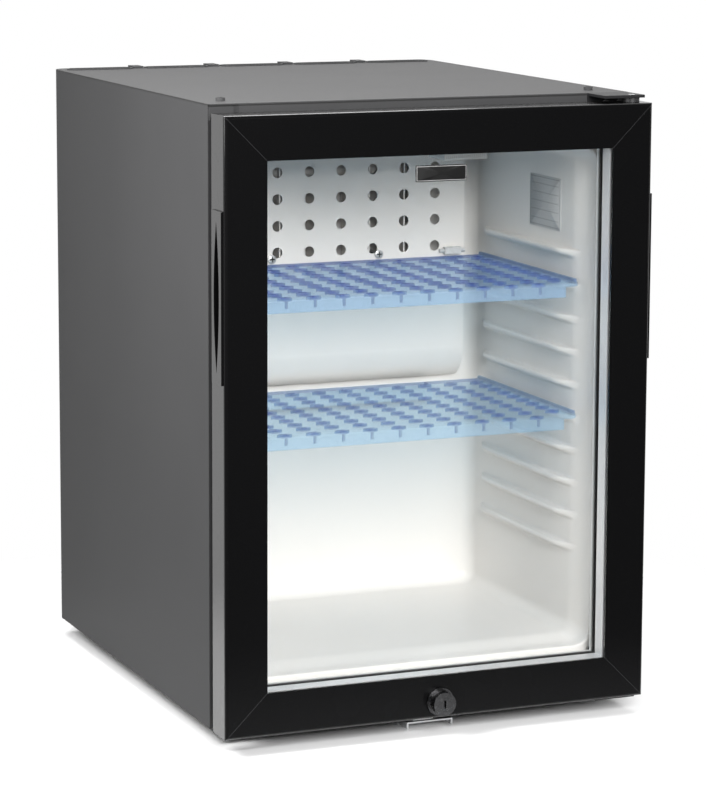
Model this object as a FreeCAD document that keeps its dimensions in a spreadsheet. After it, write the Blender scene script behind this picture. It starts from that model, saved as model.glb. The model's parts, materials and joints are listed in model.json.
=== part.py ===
import FreeCAD, Part
import math
import os
import re
import Sketcher

# Driving sizes in millimetres, with plain counts and degrees where the name says so
DRIVING = {
    # cabinet casing
    "cabinet_width": 396,
    "cabinet_depth": 440,
    "cabinet_height": 542,
    "foot_height": 16,
    "sheet": 1,
    "slide_gap": 0.3,
    "rear_corner": 14,
    "rear_return": 30,
    # insulated walls, outer face to the liner's inner face
    "side_wall": 33,
    "floor_wall": 45,
    "roof_wall": 52,
    "inner_depth": 252,
    "rear_foam": 44,
    # liner
    "liner_wall": 2,
    "liner_round": 12,
    "mouth_step": 4,
    "mouth_depth": 24,
    "return_gap": 1,
    "rail_first": 128,
    "rail_pitch": 30,
    "rail_count": 10,
    "rail_reach": 9,
    "rail_height": 8,
    "rail_tip": 4,
    "rail_taper": 5,
    "rail_stop": 230,
    # shelves
    "shelf_width": 320,
    "shelf_depth": 212,
    "shelf_setback": 10,
    "shelf_plate": 3,
    "shelf_round": 9,
    "shelf_rim": 5.5,
    "shelf_lip": 9.5,
    "shelf_lip_inset": 6,
    "shelf_slot_length": 14,
    "shelf_slot_width": 6,
    "shelf_slot_flat": 7,
    "shelf_slot_pitch": 27,
    "shelf_slot_columns": 12,
    "shelf_row_pitch": 20.5,
    "shelf_rows": 9,
    "shelf_first_row": 8,
    "shelf_second_row": 32,
    "shelf_tick_width": 2.2,
    "shelf_tick_reach": 2,
    "shelf_tick_height": 6.5,
    "upper_rail": 8,
    "lower_rail": 4,
    # door
    "door_width": 400,
    "door_thick": 31,
    "door_gap": 14,
    "door_drop": 6.5,
    "door_lift": 1.2,
    "frame_face": 38.5,
    "frame_box": 28,
    "frame_wall": 2,
    "frame_lip": 2.5,
    "frame_round": 3,
    "key_thick": 9,
    "key_leg": 40,
    "key_fit": 0.2,
    # glazing
    "pane_thick": 4,
    "pane_gap": 1,
    "spacer_thick": 14,
    "spacer_show": 0.5,
    "seal_width": 2,
    "bead_fit": 0.2,
    # gasket
    "gasket_inset": 14,
    "gasket_width": 16,
    "gasket_foot": 5,
    "gasket_step": 1.5,
    "gasket_gap": 0.5,
    "magnet_width": 10,
    "magnet_thick": 4,
    "magnet_fit": 0.2,
    # finger grips
    "grip_top": 80,
    "grip_length": 147,
    "grip_proud": 2,
    "grip_width": 23,
    "grip_setback": 3,
    "grip_recess_length": 129,
    "grip_recess_width": 12.5,
    "grip_recess_depth": 14,
    "grip_wall": 1.5,
    "grip_fit": 0.3,
    # lock
    "lock_proud": 12,
    "lock_up": 15,
    "lock_head": 21,
    "lock_collar": 25,
    "lock_collar_thick": 2.5,
    "lock_shank": 16,
    "lock_shank_length": 20,
    "lock_plug": 12,
    "lock_fit": 0.05,
    "lock_cam_setback": 25.5,
    "cam_thick": 2,
    "cam_length": 25,
    "cam_width": 8,
    "cam_hub": 12,
    "cam_room": 1.5,
    "cam_gap": 0.75,
    "key_slot_width": 2,
    "key_slot_length": 7,
    "key_slot_depth": 6,
    "nut_thick": 4,
    "nut_corner": 12.5,
    "nut_fit": 0.1,
    # hinges
    "hinge_inset": 12,
    "hinge_setback": 13,
    "hinge_plate": 2.5,
    "hinge_foot_plate": 2,
    "hinge_width": 39,
    "hinge_overhang": 9,
    "hinge_nose": 8,
    "hinge_flange": 18,
    "hinge_tail": 40,
    "pin_bore": 6,
    "pin_reach": 14,
    "pin_fit": 0.05,
    "bush_sleeve": 10,
    "bush_flange": 14,
    "bush_depth": 17,
    "bush_gap": 0.3,
    "bush_fit": 0.1,
    "cover_width": 22,
    "cover_height": 13,
    "cover_thick": 1.5,
    # strike under the door
    "strike_width": 44,
    "strike_sheet": 1.5,
    "strike_drop": 6.5,
    "strike_reach": 24,
    "strike_step": 8,
    "strike_tail": 34,
    "strike_flange": 4.5,
    # screws
    "screw_shank": 4,
    "screw_head": 8,
    "screw_head_thick": 2.4,
    "screw_pitch": 22,
    "screw_room": 1,
    "hinge_screw_gap": 13,
    "top_screw_x": 175,
    "top_screw_setback": 32,
    # feet
    "foot_base": 30,
    "foot_top": 36,
    "foot_side": 50,
    "foot_front": 62,
    "foot_rear": 50,
    "foot_seat": 5,
    # top vent
    "vent_slots": 5,
    "vent_pitch": 78,
    "vent_slot_length": 62,
    "vent_slot_width": 13,
    "vent_setback": 20,
    "vent_rim": 2,
    "vent_rim_height": 1,
    "vent_bump": 10,
    "vent_bump_height": 1.8,
    "vent_bump_setback": 3,
    # cold plate and evaporator
    "plate_setback": 225,
    "plate_sheet": 1.5,
    "plate_lip_edge": 2,
    "plate_width": 285,
    "plate_knee": 281,
    "plate_foot": 252,
    "plate_top": 12,
    "plate_hole": 10,
    "plate_columns": 8,
    "plate_column_pitch": 32,
    "plate_rows": 4,
    "plate_row_pitch": 25,
    "plate_first_row": 381.5,
    "plate_screw_x": 54,
    "plate_screw_z": 376,
    "plate_boss": 10,
    "fin_count": 12,
    "fin_pitch": 18,
    "fin_sheet": 1,
    "fin_rise": 165,
    "fin_gap": 2,
    "fin_fit": 0.1,
    "evaporator_bore": 14,
    "evaporator_x": 120,
    "evaporator_high": 455,
    "evaporator_low": 318,
    "evaporator_bend": 12,
    "pipe_wall": 1.5,
    "pipe_fit": 0.3,
    "clip_width": 17,
    "clip_height": 7,
    "clip_thick": 5.5,
    "clip_x": 129,
    "clip_up": 376.5,
    "clip_fit": 0.1,
    "sensor_bore": 4,
    "sensor_length": 26,
    # drip channel and drain
    "drip_width": 230,
    "drip_depth": 18,
    "drip_height": 14,
    "drip_top": 246,
    "drip_wall": 1.5,
    "drain_bore": 10,
    "drain_x": 70,
    "drain_up": 7,
    "drain_bend": 16,
    "drain_setback": 46,
    "drain_end": 12,
    "tray_length": 120,
    "tray_width": 76,
    "tray_height": 22,
    "tray_wall": 2,
    "tray_floor": 6,
    "tray_sink": 3,
    # lamp
    "lamp_x": 66,
    "lamp_width": 42,
    "lamp_depth": 34,
    "lamp_setback": 55,
    "lamp_base": 3,
    "lamp_lens": 6,
    "lamp_wall": 1.5,
    # cooling unit behind the insulated wall
    "unit_setback": 70,
    "boiler_x": 130,
    "boiler_jacket": 70,
    "jacket_sheet": 1,
    "jacket_low": 105,
    "jacket_high": 345,
    "boiler_bore": 24,
    "boiler_wall": 3,
    "boiler_low": 95,
    "boiler_high": 355,
    "heater_bore": 10,
    "heater_offset": 20,
    "heater_length": 120,
    "heater_fit": 0.1,
    "condenser_bore": 14,
    "condenser_up": 505,
    "condenser_bend": 20,
    "condenser_fins": 13,
    "condenser_fin_pitch": 13,
    "condenser_fin_rise": 50,
    "condenser_fin_depth": 56,
    "joint_setback": 30,
    "coil_bore": 18,
    "coil_right": 160,
    "coil_left": 60,
    "coil_first": 153,
    "coil_pitch": 55,
    "coil_bend": 24,
    "vessel_bore": 56,
    "vessel_up": 73,
    "vessel_left": 40,
    "vessel_right": 178,
    "vessel_round": 8,
    "vessel_wall": 2,
    "saddle_width": 22,
    "saddle_depth": 50,
    "saddle_left": 10,
    "saddle_right": 140,
    "solution_bore": 12,
    "solution_bend": 18,
    "strap_width": 20,
    "strap_sheet": 2,
    "strap_up": 240,
    "strap_grip": 4,
    # terminal box
    "box_left": 186,
    "box_right": 76,
    "box_front": 44,
    "box_height": 55,
    "box_wall": 2.5,
    "box_lid": 2.5,
    "inlet_width": 31,
    "inlet_height": 24,
    "inlet_depth": 24,
    "inlet_wall": 2.5,
    "inlet_flange": 4,
    "inlet_flange_thick": 2,
    "inlet_fit": 0.2,
    "inlet_pin": 2,
    "inlet_pin_pitch": 7,
    "inlet_pin_height": 5,
    "inlet_pin_gap": 3,
    # one overrun for every cut
    "overrun": 5,
}

# Places worked out from the driving sizes
PLACES = {
    "rear_y": "(lock_proud + door_thick + door_gap + cabinet_depth) / 2",
    "front_y": "rear_y - cabinet_depth",
    "door_back": "front_y - door_gap",
    "door_face": "door_back - door_thick",
    "half_cabinet": "cabinet_width / 2",
    "half_door": "door_width / 2",
    "cabinet_low": "foot_height",
    "cabinet_high": "foot_height + cabinet_height",
    "door_low": "cabinet_low + door_lift",
    "door_high": "cabinet_high - door_drop",
    "skin_x": "half_cabinet - sheet",
    "skin_low": "cabinet_low + sheet",
    "skin_high": "cabinet_high - sheet",
    "wall_x": "half_cabinet - side_wall",
    "floor_z": "cabinet_low + floor_wall",
    "roof_z": "cabinet_high - roof_wall",
    "liner_back": "front_y + inner_depth",
    "bulkhead_y": "liner_back + liner_wall + rear_foam",
    "unit_back": "bulkhead_y + sheet",
    "unit_y": "unit_back + unit_setback",
    "joint_y": "unit_back + joint_setback",
    "mouth_x": "wall_x + mouth_step",
    "mouth_low": "floor_z - mouth_step",
    "mouth_high": "roof_z + mouth_step",
    "mouth_back": "front_y + mouth_depth",
    "return_x": "mouth_x + return_gap",
    "return_low": "mouth_low - return_gap",
    "return_high": "mouth_high + return_gap",
    "shelf_front": "front_y + shelf_setback",
    "shelf_rear": "shelf_front + shelf_depth",
    "half_shelf": "shelf_width / 2",
    "upper_shelf_z": "cabinet_low + rail_first + upper_rail * rail_pitch + slide_gap",
    "lower_shelf_z": "cabinet_low + rail_first + lower_rail * rail_pitch + slide_gap",
    "pane_x": "half_door - frame_box - pane_gap",
    "pane_low": "door_low + frame_box + pane_gap",
    "pane_high": "door_high - frame_box - pane_gap",
    "pane_front": "door_face + frame_lip",
    "spacer_front": "pane_front + pane_thick",
    "spacer_back": "spacer_front + spacer_thick",
    "pane_back": "spacer_back + pane_thick",
    "sight_x": "half_door - frame_face",
    "gasket_x": "half_door - gasket_inset",
    "gasket_low": "door_low + gasket_inset",
    "gasket_high": "door_high - gasket_inset",
    "gasket_end": "front_y - gasket_gap",
    "grip_high": "door_high - grip_top",
    "grip_low": "grip_high - grip_length",
    "grip_mid": "(grip_high + grip_low) / 2",
    "grip_front": "door_face + grip_setback",
    "grip_y": "grip_front + grip_width / 2",
    "lock_z": "door_low + lock_up",
    "cam_front": "door_face + lock_cam_setback",
    "cam_back": "cam_front + cam_thick",
    "hinge_x": "half_door - hinge_inset",
    "hinge_y": "door_back - hinge_setback",
    "hinge_right": "hinge_x + hinge_overhang",
    "hinge_left": "hinge_right - hinge_width",
    "hinge_front": "hinge_y - hinge_nose",
    "strike_high": "cabinet_low - strike_drop",
    "strike_low": "strike_high - strike_sheet",
    "strike_front": "front_y - strike_reach",
    "strike_back": "front_y + strike_step",
    "vent_y": "rear_y - vent_setback",
    "plate_front": "front_y + plate_setback",
    "plate_back": "plate_front + plate_sheet",
    "plate_high": "roof_z - plate_top",
    "plate_knee_z": "cabinet_low + plate_knee",
    "plate_foot_z": "cabinet_low + plate_foot",
    "plate_screw_up": "cabinet_low + plate_screw_z",
    "evaporator_y": "(plate_back + liner_back) / 2",
    "evaporator_high_z": "cabinet_low + evaporator_high",
    "evaporator_low_z": "cabinet_low + evaporator_low",
    "drip_high_z": "cabinet_low + drip_top",
    "drip_low_z": "drip_high_z - drip_height",
    "drip_front": "liner_back - drip_depth",
    "drain_z": "drip_low_z + drain_up",
    "drain_y": "unit_back + drain_setback",
    "clip_z": "cabinet_low + clip_up",
    "boiler_high_z": "cabinet_low + boiler_high",
    "boiler_low_z": "cabinet_low + boiler_low",
    "condenser_z": "cabinet_low + condenser_up",
    "vessel_z": "cabinet_low + vessel_up",
    "tray_z": "vessel_z + vessel_bore / 2 - tray_sink",
    "box_back": "rear_y - sheet - inlet_flange_thick",
    "box_front_y": "unit_back + box_front",
    "box_high": "skin_low + box_height",
    "inlet_x": "-(box_left + box_right) / 2",
    "inlet_z": "skin_low + box_height / 2",
    "hinge_screw_z": "cabinet_high - (hinge_flange + hinge_plate) / 2",
    "hinge_foot_screw_y": "front_y + hinge_tail / 2",
    "strike_screw_y": "front_y + (strike_step + strike_tail) / 2",
    "top_screw_y": "front_y + top_screw_setback",
}

NAMES = set(DRIVING) | set(PLACES)

# how close two numbers lie that stand for one place
NEARLY = 1e-4

doc = FreeCAD.newDocument("minibar_fridge")
sizes = doc.addObject("Spreadsheet::Sheet", "sizes")


def fill_sheet():
    row = 1
    for alias, number in DRIVING.items():
        sizes.set(f"A{row}", alias)
        sizes.set(f"B{row}", str(number))
        sizes.setAlias(f"B{row}", alias)
        row += 1
    for alias, rule in PLACES.items():
        sizes.set(f"A{row}", alias)
        sizes.set(f"B{row}", f"={rule}")
        sizes.setAlias(f"B{row}", alias)
        row += 1
    doc.recompute()


def size(alias):
    return float(sizes.get(alias))


def cell_rule(rule):
    # every sheet name in the rule becomes a reference to its cell
    def refer(word):
        return f"sizes.{word[0]}" if word[0] in NAMES else word[0]

    return re.sub(r"[a-z]\w*", refer, str(rule))


def bind(thing, prop, rule):
    thing.setExpression(prop, cell_rule(rule))


def place(thing, corner):
    for axis, rule in zip("xyz", corner):
        bind(thing, f"Placement.Base.{axis}", rule)


# Part primitives and booleans


def block(name, low, high):
    box = doc.addObject("Part::Box", name)
    for prop, start, end in zip(("Length", "Width", "Height"), low, high):
        bind(box, prop, f"({end}) - ({start})")
    place(box, low)
    return box


TURNS = {
    "x": FreeCAD.Rotation(FreeCAD.Vector(0, 1, 0), 90),
    "y": FreeCAD.Rotation(FreeCAD.Vector(1, 0, 0), -90),
    "z": FreeCAD.Rotation(),
}


def rod(name, axis, start, length, diameter):
    # a cylinder from its start point along +x, +y or +z
    cylinder = doc.addObject("Part::Cylinder", name)
    cylinder.Placement = FreeCAD.Placement(FreeCAD.Vector(), TURNS[axis])
    bind(cylinder, "Radius", f"({diameter}) / 2")
    bind(cylinder, "Height", length)
    place(cylinder, start)
    return cylinder


def join(name, *pieces):
    union = doc.addObject("Part::MultiFuse", name)
    union.Shapes = list(pieces)
    union.Refine = True
    return union


def gather(name, *pieces):
    group = doc.addObject("Part::Compound", name)
    group.Links = list(pieces)
    return group


def cut(name, base, *tools):
    cutting = tools[0]
    if len(tools) > 1:
        cutting = gather(f"{name}_cutters", *tools)
    difference = doc.addObject("Part::Cut", name)
    difference.Base = base
    difference.Tool = cutting
    return difference


def ring(name, half_width, low, high, front, back, width):
    # a rectangular frame lying in an upright plane, given by its outer edges
    outer = block(f"{name}_outer", (f"-({half_width})", front, low), (half_width, back, high))
    inner_x = f"({half_width}) - ({width})"
    inner = block(
        f"{name}_inner",
        (f"-({inner_x})", f"({front}) - overrun", f"({low}) + ({width})"),
        (inner_x, f"({back}) + overrun", f"({high}) - ({width})"),
    )
    return cut(name, outer, inner)


def obround(name, middle_x, middle_y, low, high, length, width):
    # an upright slot cutter with round ends along x
    reach = f"(({length}) - ({width})) / 2"
    height = f"({high}) - ({low})"
    straight = block(
        f"{name}_straight",
        (f"({middle_x}) - {reach}", f"({middle_y}) - ({width}) / 2", low),
        (f"({middle_x}) + {reach}", f"({middle_y}) + ({width}) / 2", high),
    )
    left = rod(f"{name}_left", "z", (f"({middle_x}) - {reach}", middle_y, low), height, width)
    right = rod(f"{name}_right", "z", (f"({middle_x}) + {reach}", middle_y, low), height, width)
    return join(name, straight, left, right)


def lens(name, start_x, end_x, middle_y, middle_z, length, width):
    # two equal cylinders along x, whose common part is a pointed lens
    diameter = f"(({length})^2 + ({width})^2) / (2 * ({width}))"
    offset = f"({diameter}) / 2 - ({width}) / 2"
    span = f"({end_x}) - ({start_x})"
    front = rod(f"{name}_front", "x", (start_x, f"({middle_y}) + {offset}", middle_z), span, diameter)
    back = rod(f"{name}_back", "x", (start_x, f"({middle_y}) - ({offset})", middle_z), span, diameter)
    common = doc.addObject("Part::MultiCommon", name)
    common.Shapes = [front, back]
    return common


# PartDesign bodies built from sketches on their own origin planes


def new_body(name):
    body = doc.addObject("PartDesign::Body", name)
    body.Label = name
    return body


def add_polygon(sketch, corners):
    count = len(corners)
    first = sketch.GeometryCount
    turns = [2 * math.pi * step / count for step in range(count)]
    starts = [FreeCAD.Vector(math.cos(turn), math.sin(turn), 0) for turn in turns]
    for step in range(count):
        sketch.addGeometry(Part.LineSegment(starts[step], starts[(step + 1) % count]), False)
    for step in range(count):
        nearby = first + (step + 1) % count
        sketch.addConstraint(Sketcher.Constraint("Coincident", first + step, 2, nearby, 1))
    for step, corner in enumerate(corners):
        for kind, rule in zip(("DistanceX", "DistanceY"), corner):
            index = sketch.addConstraint(Sketcher.Constraint(kind, -1, 1, first + step, 1, 1.0))
            bind(sketch, f"Constraints[{index}]", rule)


def add_circle(sketch, middle, diameter):
    shape = Part.Circle(FreeCAD.Vector(), FreeCAD.Vector(0, 0, 1), 1.0)
    index = sketch.addGeometry(shape, False)
    for kind, rule in zip(("DistanceX", "DistanceY"), middle):
        number = sketch.addConstraint(Sketcher.Constraint(kind, -1, 1, index, 3, 1.0))
        bind(sketch, f"Constraints[{number}]", rule)
    number = sketch.addConstraint(Sketcher.Constraint("Diameter", index, 2.0))
    bind(sketch, f"Constraints[{number}]", diameter)


def draw(body, plane, level, polygons, circles):
    sketch = body.newObject("Sketcher::SketchObject", f"{body.Name}_sketch")
    support = [part for part in body.Origin.OriginFeatures if part.Role == f"{plane}_Plane"]
    sketch.AttachmentSupport = (support[0], [""])
    sketch.MapMode = "FlatFace"
    # the upright front plane looks towards -y
    sign = "-1" if plane == "XZ" else "1"
    bind(sketch, "AttachmentOffset.Base.z", f"{sign} * ({level})")
    for corners in polygons:
        add_polygon(sketch, corners)
    for middle, diameter in circles:
        add_circle(sketch, middle, diameter)
    return sketch


def prism(body, plane, low, high, *polygons, circles=()):
    level = high if plane == "XZ" else low
    pad = body.newObject("PartDesign::Pad", f"{body.Name}_pad")
    pad.Profile = draw(body, plane, level, polygons, circles)
    bind(pad, "Length", f"({high}) - ({low})")
    return pad


def carve(body, plane, low, high, *polygons, circles=()):
    level = low if plane == "XZ" else high
    profile = draw(body, plane, level, polygons, circles)
    pocket = body.newObject("PartDesign::Pocket", f"{body.Name}_pocket")
    pocket.Profile = profile
    bind(pocket, "Length", f"({high}) - ({low})")
    return pocket


def soften(body, radius, chosen):
    doc.recompute()
    base = body.Tip
    names = [f"Edge{number}" for number, edge in enumerate(base.Shape.Edges, 1) if chosen(edge)]
    fillet = body.newObject("PartDesign::Fillet", f"{body.Name}_fillet")
    fillet.Base = (base, names)
    bind(fillet, "Radius", radius)
    return fillet


def rectangle(left, right, low, high):
    return [(left, low), (right, low), (right, high), (left, high)]


def along(edge, axis):
    # true for a straight edge that runs along one axis
    if edge.Curve.TypeId != "Part::GeomLine":
        return False
    direction = edge.tangentAt(edge.FirstParameter)
    return abs(abs(getattr(direction, axis)) - 1) < NEARLY


def edge_at(edge, axis, value):
    return abs(getattr(edge.CenterOfMass, axis) - value) < NEARLY


# Bent tubes along straight runs and tangent arcs


def bent_wire(points, bend):
    edges = []
    start = points[0]
    for before, corner, after in zip(points, points[1:], points[2:]):
        inward = (before - corner).normalize()
        outward = (after - corner).normalize()
        half = inward.getAngle(outward) / 2
        reach = bend / math.tan(half)
        first = corner + inward * reach
        last = corner + outward * reach
        middle = corner + (inward + outward).normalize() * (bend / math.sin(half) - bend)
        if not first.isEqual(start, NEARLY):
            edges.append(Part.makeLine(start, first))
        edges.append(Part.Arc(first, middle, last).toShape())
        start = last
    edges.append(Part.makeLine(start, points[-1]))
    return Part.Wire(edges)


def swept(points, bend, diameter):
    path = bent_wire(points, bend)
    circle = Part.makeCircle(diameter / 2, points[0], points[1] - points[0])
    return path.makePipeShell([Part.Wire([circle])], True, False)


def tube(name, points, bend, diameter, wall):
    feature = doc.addObject("Part::Feature", name)
    feature.Shape = swept(points, bend, diameter).cut(swept(points, bend, diameter - 2 * wall))
    return feature


# Casing


def side_panel(name, sign):
    body = new_body(name)
    outer, inner = f"{sign} * half_cabinet", f"{sign} * skin_x"
    front, back = f"{sign} * return_x", f"{sign} * (half_cabinet - rear_return)"
    corners = [
        (front, "front_y"),
        (outer, "front_y"),
        (outer, "rear_y"),
        (back, "rear_y"),
        (back, "rear_y - sheet"),
        (inner, "rear_y - sheet"),
        (inner, "front_y + sheet"),
        (front, "front_y + sheet"),
    ]
    prism(body, "XY", "cabinet_low", "skin_high", corners)
    thick = size("sheet")
    half, rear = sign * size("half_cabinet"), size("rear_y")
    soften(body, "rear_corner", upright_at(half, rear))
    soften(body, "rear_corner - sheet", upright_at(half - sign * thick, rear - thick))
    if sign > 0:
        holes = [((x, "hinge_screw_z"), "screw_shank") for x in hinge_screw_places()]
        carve(body, "XZ", "front_y - overrun", "front_y + sheet", circles=holes)
    return body


def upright_at(x, y):
    # picks the upright edges at x, or at either side when x is given as a pair
    choices = x if isinstance(x, tuple) else (x,)

    def chosen(edge):
        beside = any(edge_at(edge, "x", choice) for choice in choices)
        return along(edge, "z") and edge_at(edge, "y", y) and beside

    return chosen


def vent_places():
    return [f"{step} * vent_pitch" for step in centred(size("vent_slots"))]


def centred(count):
    # whole steps either side of the middle
    count = int(count)
    return [step - (count - 1) / 2 for step in range(count)]


def top_panel():
    body = new_body("top_sheet")
    plan = rectangle("-half_cabinet", "half_cabinet", "front_y", "rear_y")
    prism(body, "XY", "skin_high", "cabinet_high", plan)
    reach = size("half_cabinet")
    soften(body, "rear_corner", upright_at((-reach, reach), size("rear_y")))
    flange = rectangle("-return_x", "return_x", "return_high", "cabinet_high")
    prism(body, "XZ", "front_y", "front_y + sheet", flange)
    screws = [((x, "top_screw_y"), "screw_shank") for x in pair("top_screw_x")]
    carve(body, "XY", "skin_high - overrun", "cabinet_high", circles=screws)
    rims = []
    slots = []
    rim_high = "cabinet_high + vent_rim_height"
    for number, x in enumerate(vent_places()):
        long, wide = "vent_slot_length", "vent_slot_width"
        outer = (f"{long} + 2 * vent_rim", f"{wide} + 2 * vent_rim")
        rims.append(obround(f"vent_rim_{number}", x, "vent_y", "skin_high", rim_high, *outer))
        low, high = "skin_high - overrun", f"{rim_high} + overrun"
        slots.append(obround(f"vent_slot_{number}", x, "vent_y", low, high, long, wide))
    bumps = []
    for number, x in enumerate(vent_places()[:-1]):
        middle = f"{x} + vent_pitch / 2"
        low = (f"{middle} - vent_bump / 2", "vent_y", "skin_high")
        top = "cabinet_high + vent_bump_height"
        high = (f"{middle} + vent_bump / 2", "rear_y - vent_bump_setback", top)
        bumps.append(block(f"vent_bump_{number}", low, high))
    return cut("top_panel", join("top_pressing", body, *rims, *bumps), *slots)


def base_pan():
    body = new_body("base_pan")
    inside = rectangle("-skin_x", "skin_x", "front_y", "rear_y - sheet")
    prism(body, "XY", "cabinet_low", "skin_low", inside)
    reach = size("skin_x")
    soften(body, "rear_corner - sheet", upright_at((-reach, reach), size("rear_y") - size("sheet")))
    notch = []
    for sign in (-1, 1):
        sides = (f"{sign} * return_x", f"{sign} * (skin_x + overrun)")
        notch.append(rectangle(*sides, "front_y - overrun", "front_y + sheet"))
    carve(body, "XY", "cabinet_low", "skin_low + overrun", *notch)
    flange = rectangle("-return_x", "return_x", "cabinet_low", "return_low")
    prism(body, "XZ", "front_y", "front_y + sheet", flange)
    holes = [((x, y), "screw_shank") for x, y in foot_places().values()]
    holes += [((x, "strike_screw_y"), "screw_shank") for x in pair("screw_pitch / 2")]
    holes += [((x, "hinge_foot_screw_y"), "screw_shank") for x in hinge_screw_places()]
    carve(body, "XY", "cabinet_low - overrun", "skin_low", circles=holes)
    return body


def pair(rule):
    return [f"-({rule})", rule]


def hinge_screw_places():
    return ["hinge_x", "hinge_x - hinge_screw_gap"]


def foot_places():
    front, rear = "front_y + foot_front", "rear_y - foot_rear"
    left, right = pair("half_cabinet - foot_side")
    return {
        "foot_front_left": (left, front),
        "foot_front_right": (right, front),
        "foot_rear_left": (left, rear),
        "foot_rear_right": (right, rear),
    }


def wall_holes(name, front, back):
    # cutters for the two evaporator pipes and the drain through the rear wall
    span = f"({back}) - ({front}) + 2 * overrun"
    start = f"({front}) - overrun"
    bore = "evaporator_bore + 2 * pipe_fit"
    return [
        rod(f"{name}_high", "y", ("evaporator_x", start, "evaporator_high_z"), span, bore),
        rod(f"{name}_low", "y", ("evaporator_x", start, "evaporator_low_z"), span, bore),
        rod(f"{name}_drain", "y", ("drain_x", start, "drain_z"), span, "drain_bore + 2 * pipe_fit"),
    ]


def rear_bulkhead():
    low, high = ("-skin_x", "bulkhead_y", "skin_low"), ("skin_x", "unit_back", "skin_high")
    plate = block("bulkhead_plate", low, high)
    return cut("rear_bulkhead", plate, *wall_holes("bulkhead_hole", "bulkhead_y", "unit_back"))


def tub(name, wall, front):
    # the liner's tub with rounded inner corners, as a plain filled shape
    body = new_body(name)
    left, right = pair(f"wall_x + ({wall})")
    low, high = f"floor_z - ({wall})", f"roof_z + ({wall})"
    back = f"liner_back + ({wall})"
    prism(body, "XZ", front, back, rectangle(left, right, low, high))
    doc.recompute()
    rear = body.Tip.Shape.BoundBox.YMax
    soften(body, f"liner_round + ({wall})", lambda e: along(e, "y") or edge_at(e, "y", rear))
    return body


def mouth(name, wall, front, back):
    body = new_body(name)
    left, right = pair(f"mouth_x + ({wall})")
    prism(body, "XZ", front, back, rectangle(left, right, f"mouth_low - ({wall})", f"mouth_high + ({wall})"))
    soften(body, f"liner_round + mouth_step + ({wall})", lambda e: along(e, "y"))
    return body


def shelf_rail(name, sign, level):
    wedge = doc.addObject("Part::Wedge", name)
    turn = 90 if sign > 0 else -90
    wedge.Placement = FreeCAD.Placement(FreeCAD.Vector(), FreeCAD.Rotation(FreeCAD.Vector(0, 0, 1), turn))
    length = "rail_stop - mouth_depth"
    rules = {
        "Xmin": "0",
        "Xmax": length,
        "X2min": "rail_taper",
        "X2max": f"{length} - rail_taper",
        "Ymin": "-liner_wall / 2",
        "Ymax": "rail_reach",
        "Zmin": "0",
        "Zmax": "rail_height",
        "Z2min": "rail_height - rail_tip",
        "Z2max": "rail_height",
    }
    for prop, rule in rules.items():
        bind(wedge, prop, rule)
    start = "mouth_back" if sign > 0 else "front_y + rail_stop"
    height = f"cabinet_low + rail_first + {level} * rail_pitch - rail_height"
    place(wedge, (f"{sign} * wall_x", start, height))
    return wedge


def liner_and_foam():
    outer = tub("tub_outside", "liner_wall", "mouth_back")
    inner = tub("tub_inside", "0", "front_y")
    mouth_outer = mouth("mouth_outside", "liner_wall", "front_y + sheet", "mouth_back + liner_wall")
    mouth_inner = mouth("mouth_inside", "0", "front_y", "mouth_back")
    flange_back = "front_y + sheet + liner_wall"
    flange_low = ("-skin_x", "front_y + sheet", "skin_low")
    flange = block("liner_flange", flange_low, ("skin_x", flange_back, "skin_high"))
    rails = [
        shelf_rail(f"rail_{level}_{'right' if sign > 0 else 'left'}", sign, level)
        for level in range(int(size("rail_count")))
        for sign in (-1, 1)
    ]
    bosses = []
    boss_holes = []
    for number, x in enumerate(pair("plate_screw_x")):
        start = (x, "plate_back", "plate_screw_up")
        reach = "liner_back - plate_back"
        bosses.append(rod(f"plate_boss_{number}", "y", start, f"{reach} + liner_wall / 2", "plate_boss"))
        boss_holes.append(rod(f"plate_boss_hole_{number}", "y", start, reach, "screw_shank"))
    solid = join("liner_solid", outer, mouth_outer, flange)
    hollow = join("liner_hollow", inner, mouth_inner)
    shell = cut("liner_shell", solid, hollow)
    ribbed = join("liner_ribbed", shell, *rails, *bosses)
    holes = wall_holes("liner_hole", "liner_back", "liner_back + liner_wall")
    liner = cut("inner_liner", ribbed, *holes, *boss_holes)
    foam_low = ("-skin_x", flange_back, "skin_low")
    foam_box = block("foam_block", foam_low, ("skin_x", "bulkhead_y", "skin_high"))
    cavity = join("foam_cavity", outer, mouth_outer)
    foam_holes = wall_holes("foam_hole", "liner_back", "bulkhead_y")
    foam = cut("insulation_foam", foam_box, cavity, *foam_holes)
    return liner, foam


# Cold side inside the liner


def cold_plate():
    body = new_body("cold_plate")
    back = "plate_back"
    profile = [
        ("plate_front", "plate_knee_z"),
        ("plate_front", "plate_high"),
        ("liner_back", "plate_high"),
        ("liner_back", "plate_high - plate_sheet"),
        (back, "plate_high - plate_sheet"),
        (back, "plate_knee_z"),
        ("liner_back", "plate_foot_z + plate_lip_edge"),
        ("liner_back", "plate_foot_z"),
    ]
    left, right = pair("plate_width / 2")
    prism(body, "YZ", left, right, profile)
    holes = []
    for column in centred(size("plate_columns")):
        for row in range(int(size("plate_rows"))):
            height = f"cabinet_low + plate_first_row + {row} * plate_row_pitch"
            holes.append(((f"{column} * plate_column_pitch", height), "plate_hole"))
    holes += [((x, "plate_screw_up"), "screw_shank") for x in pair("plate_screw_x")]
    carve(body, "XZ", "plate_front - overrun", "plate_back", circles=holes)
    return body


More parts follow.
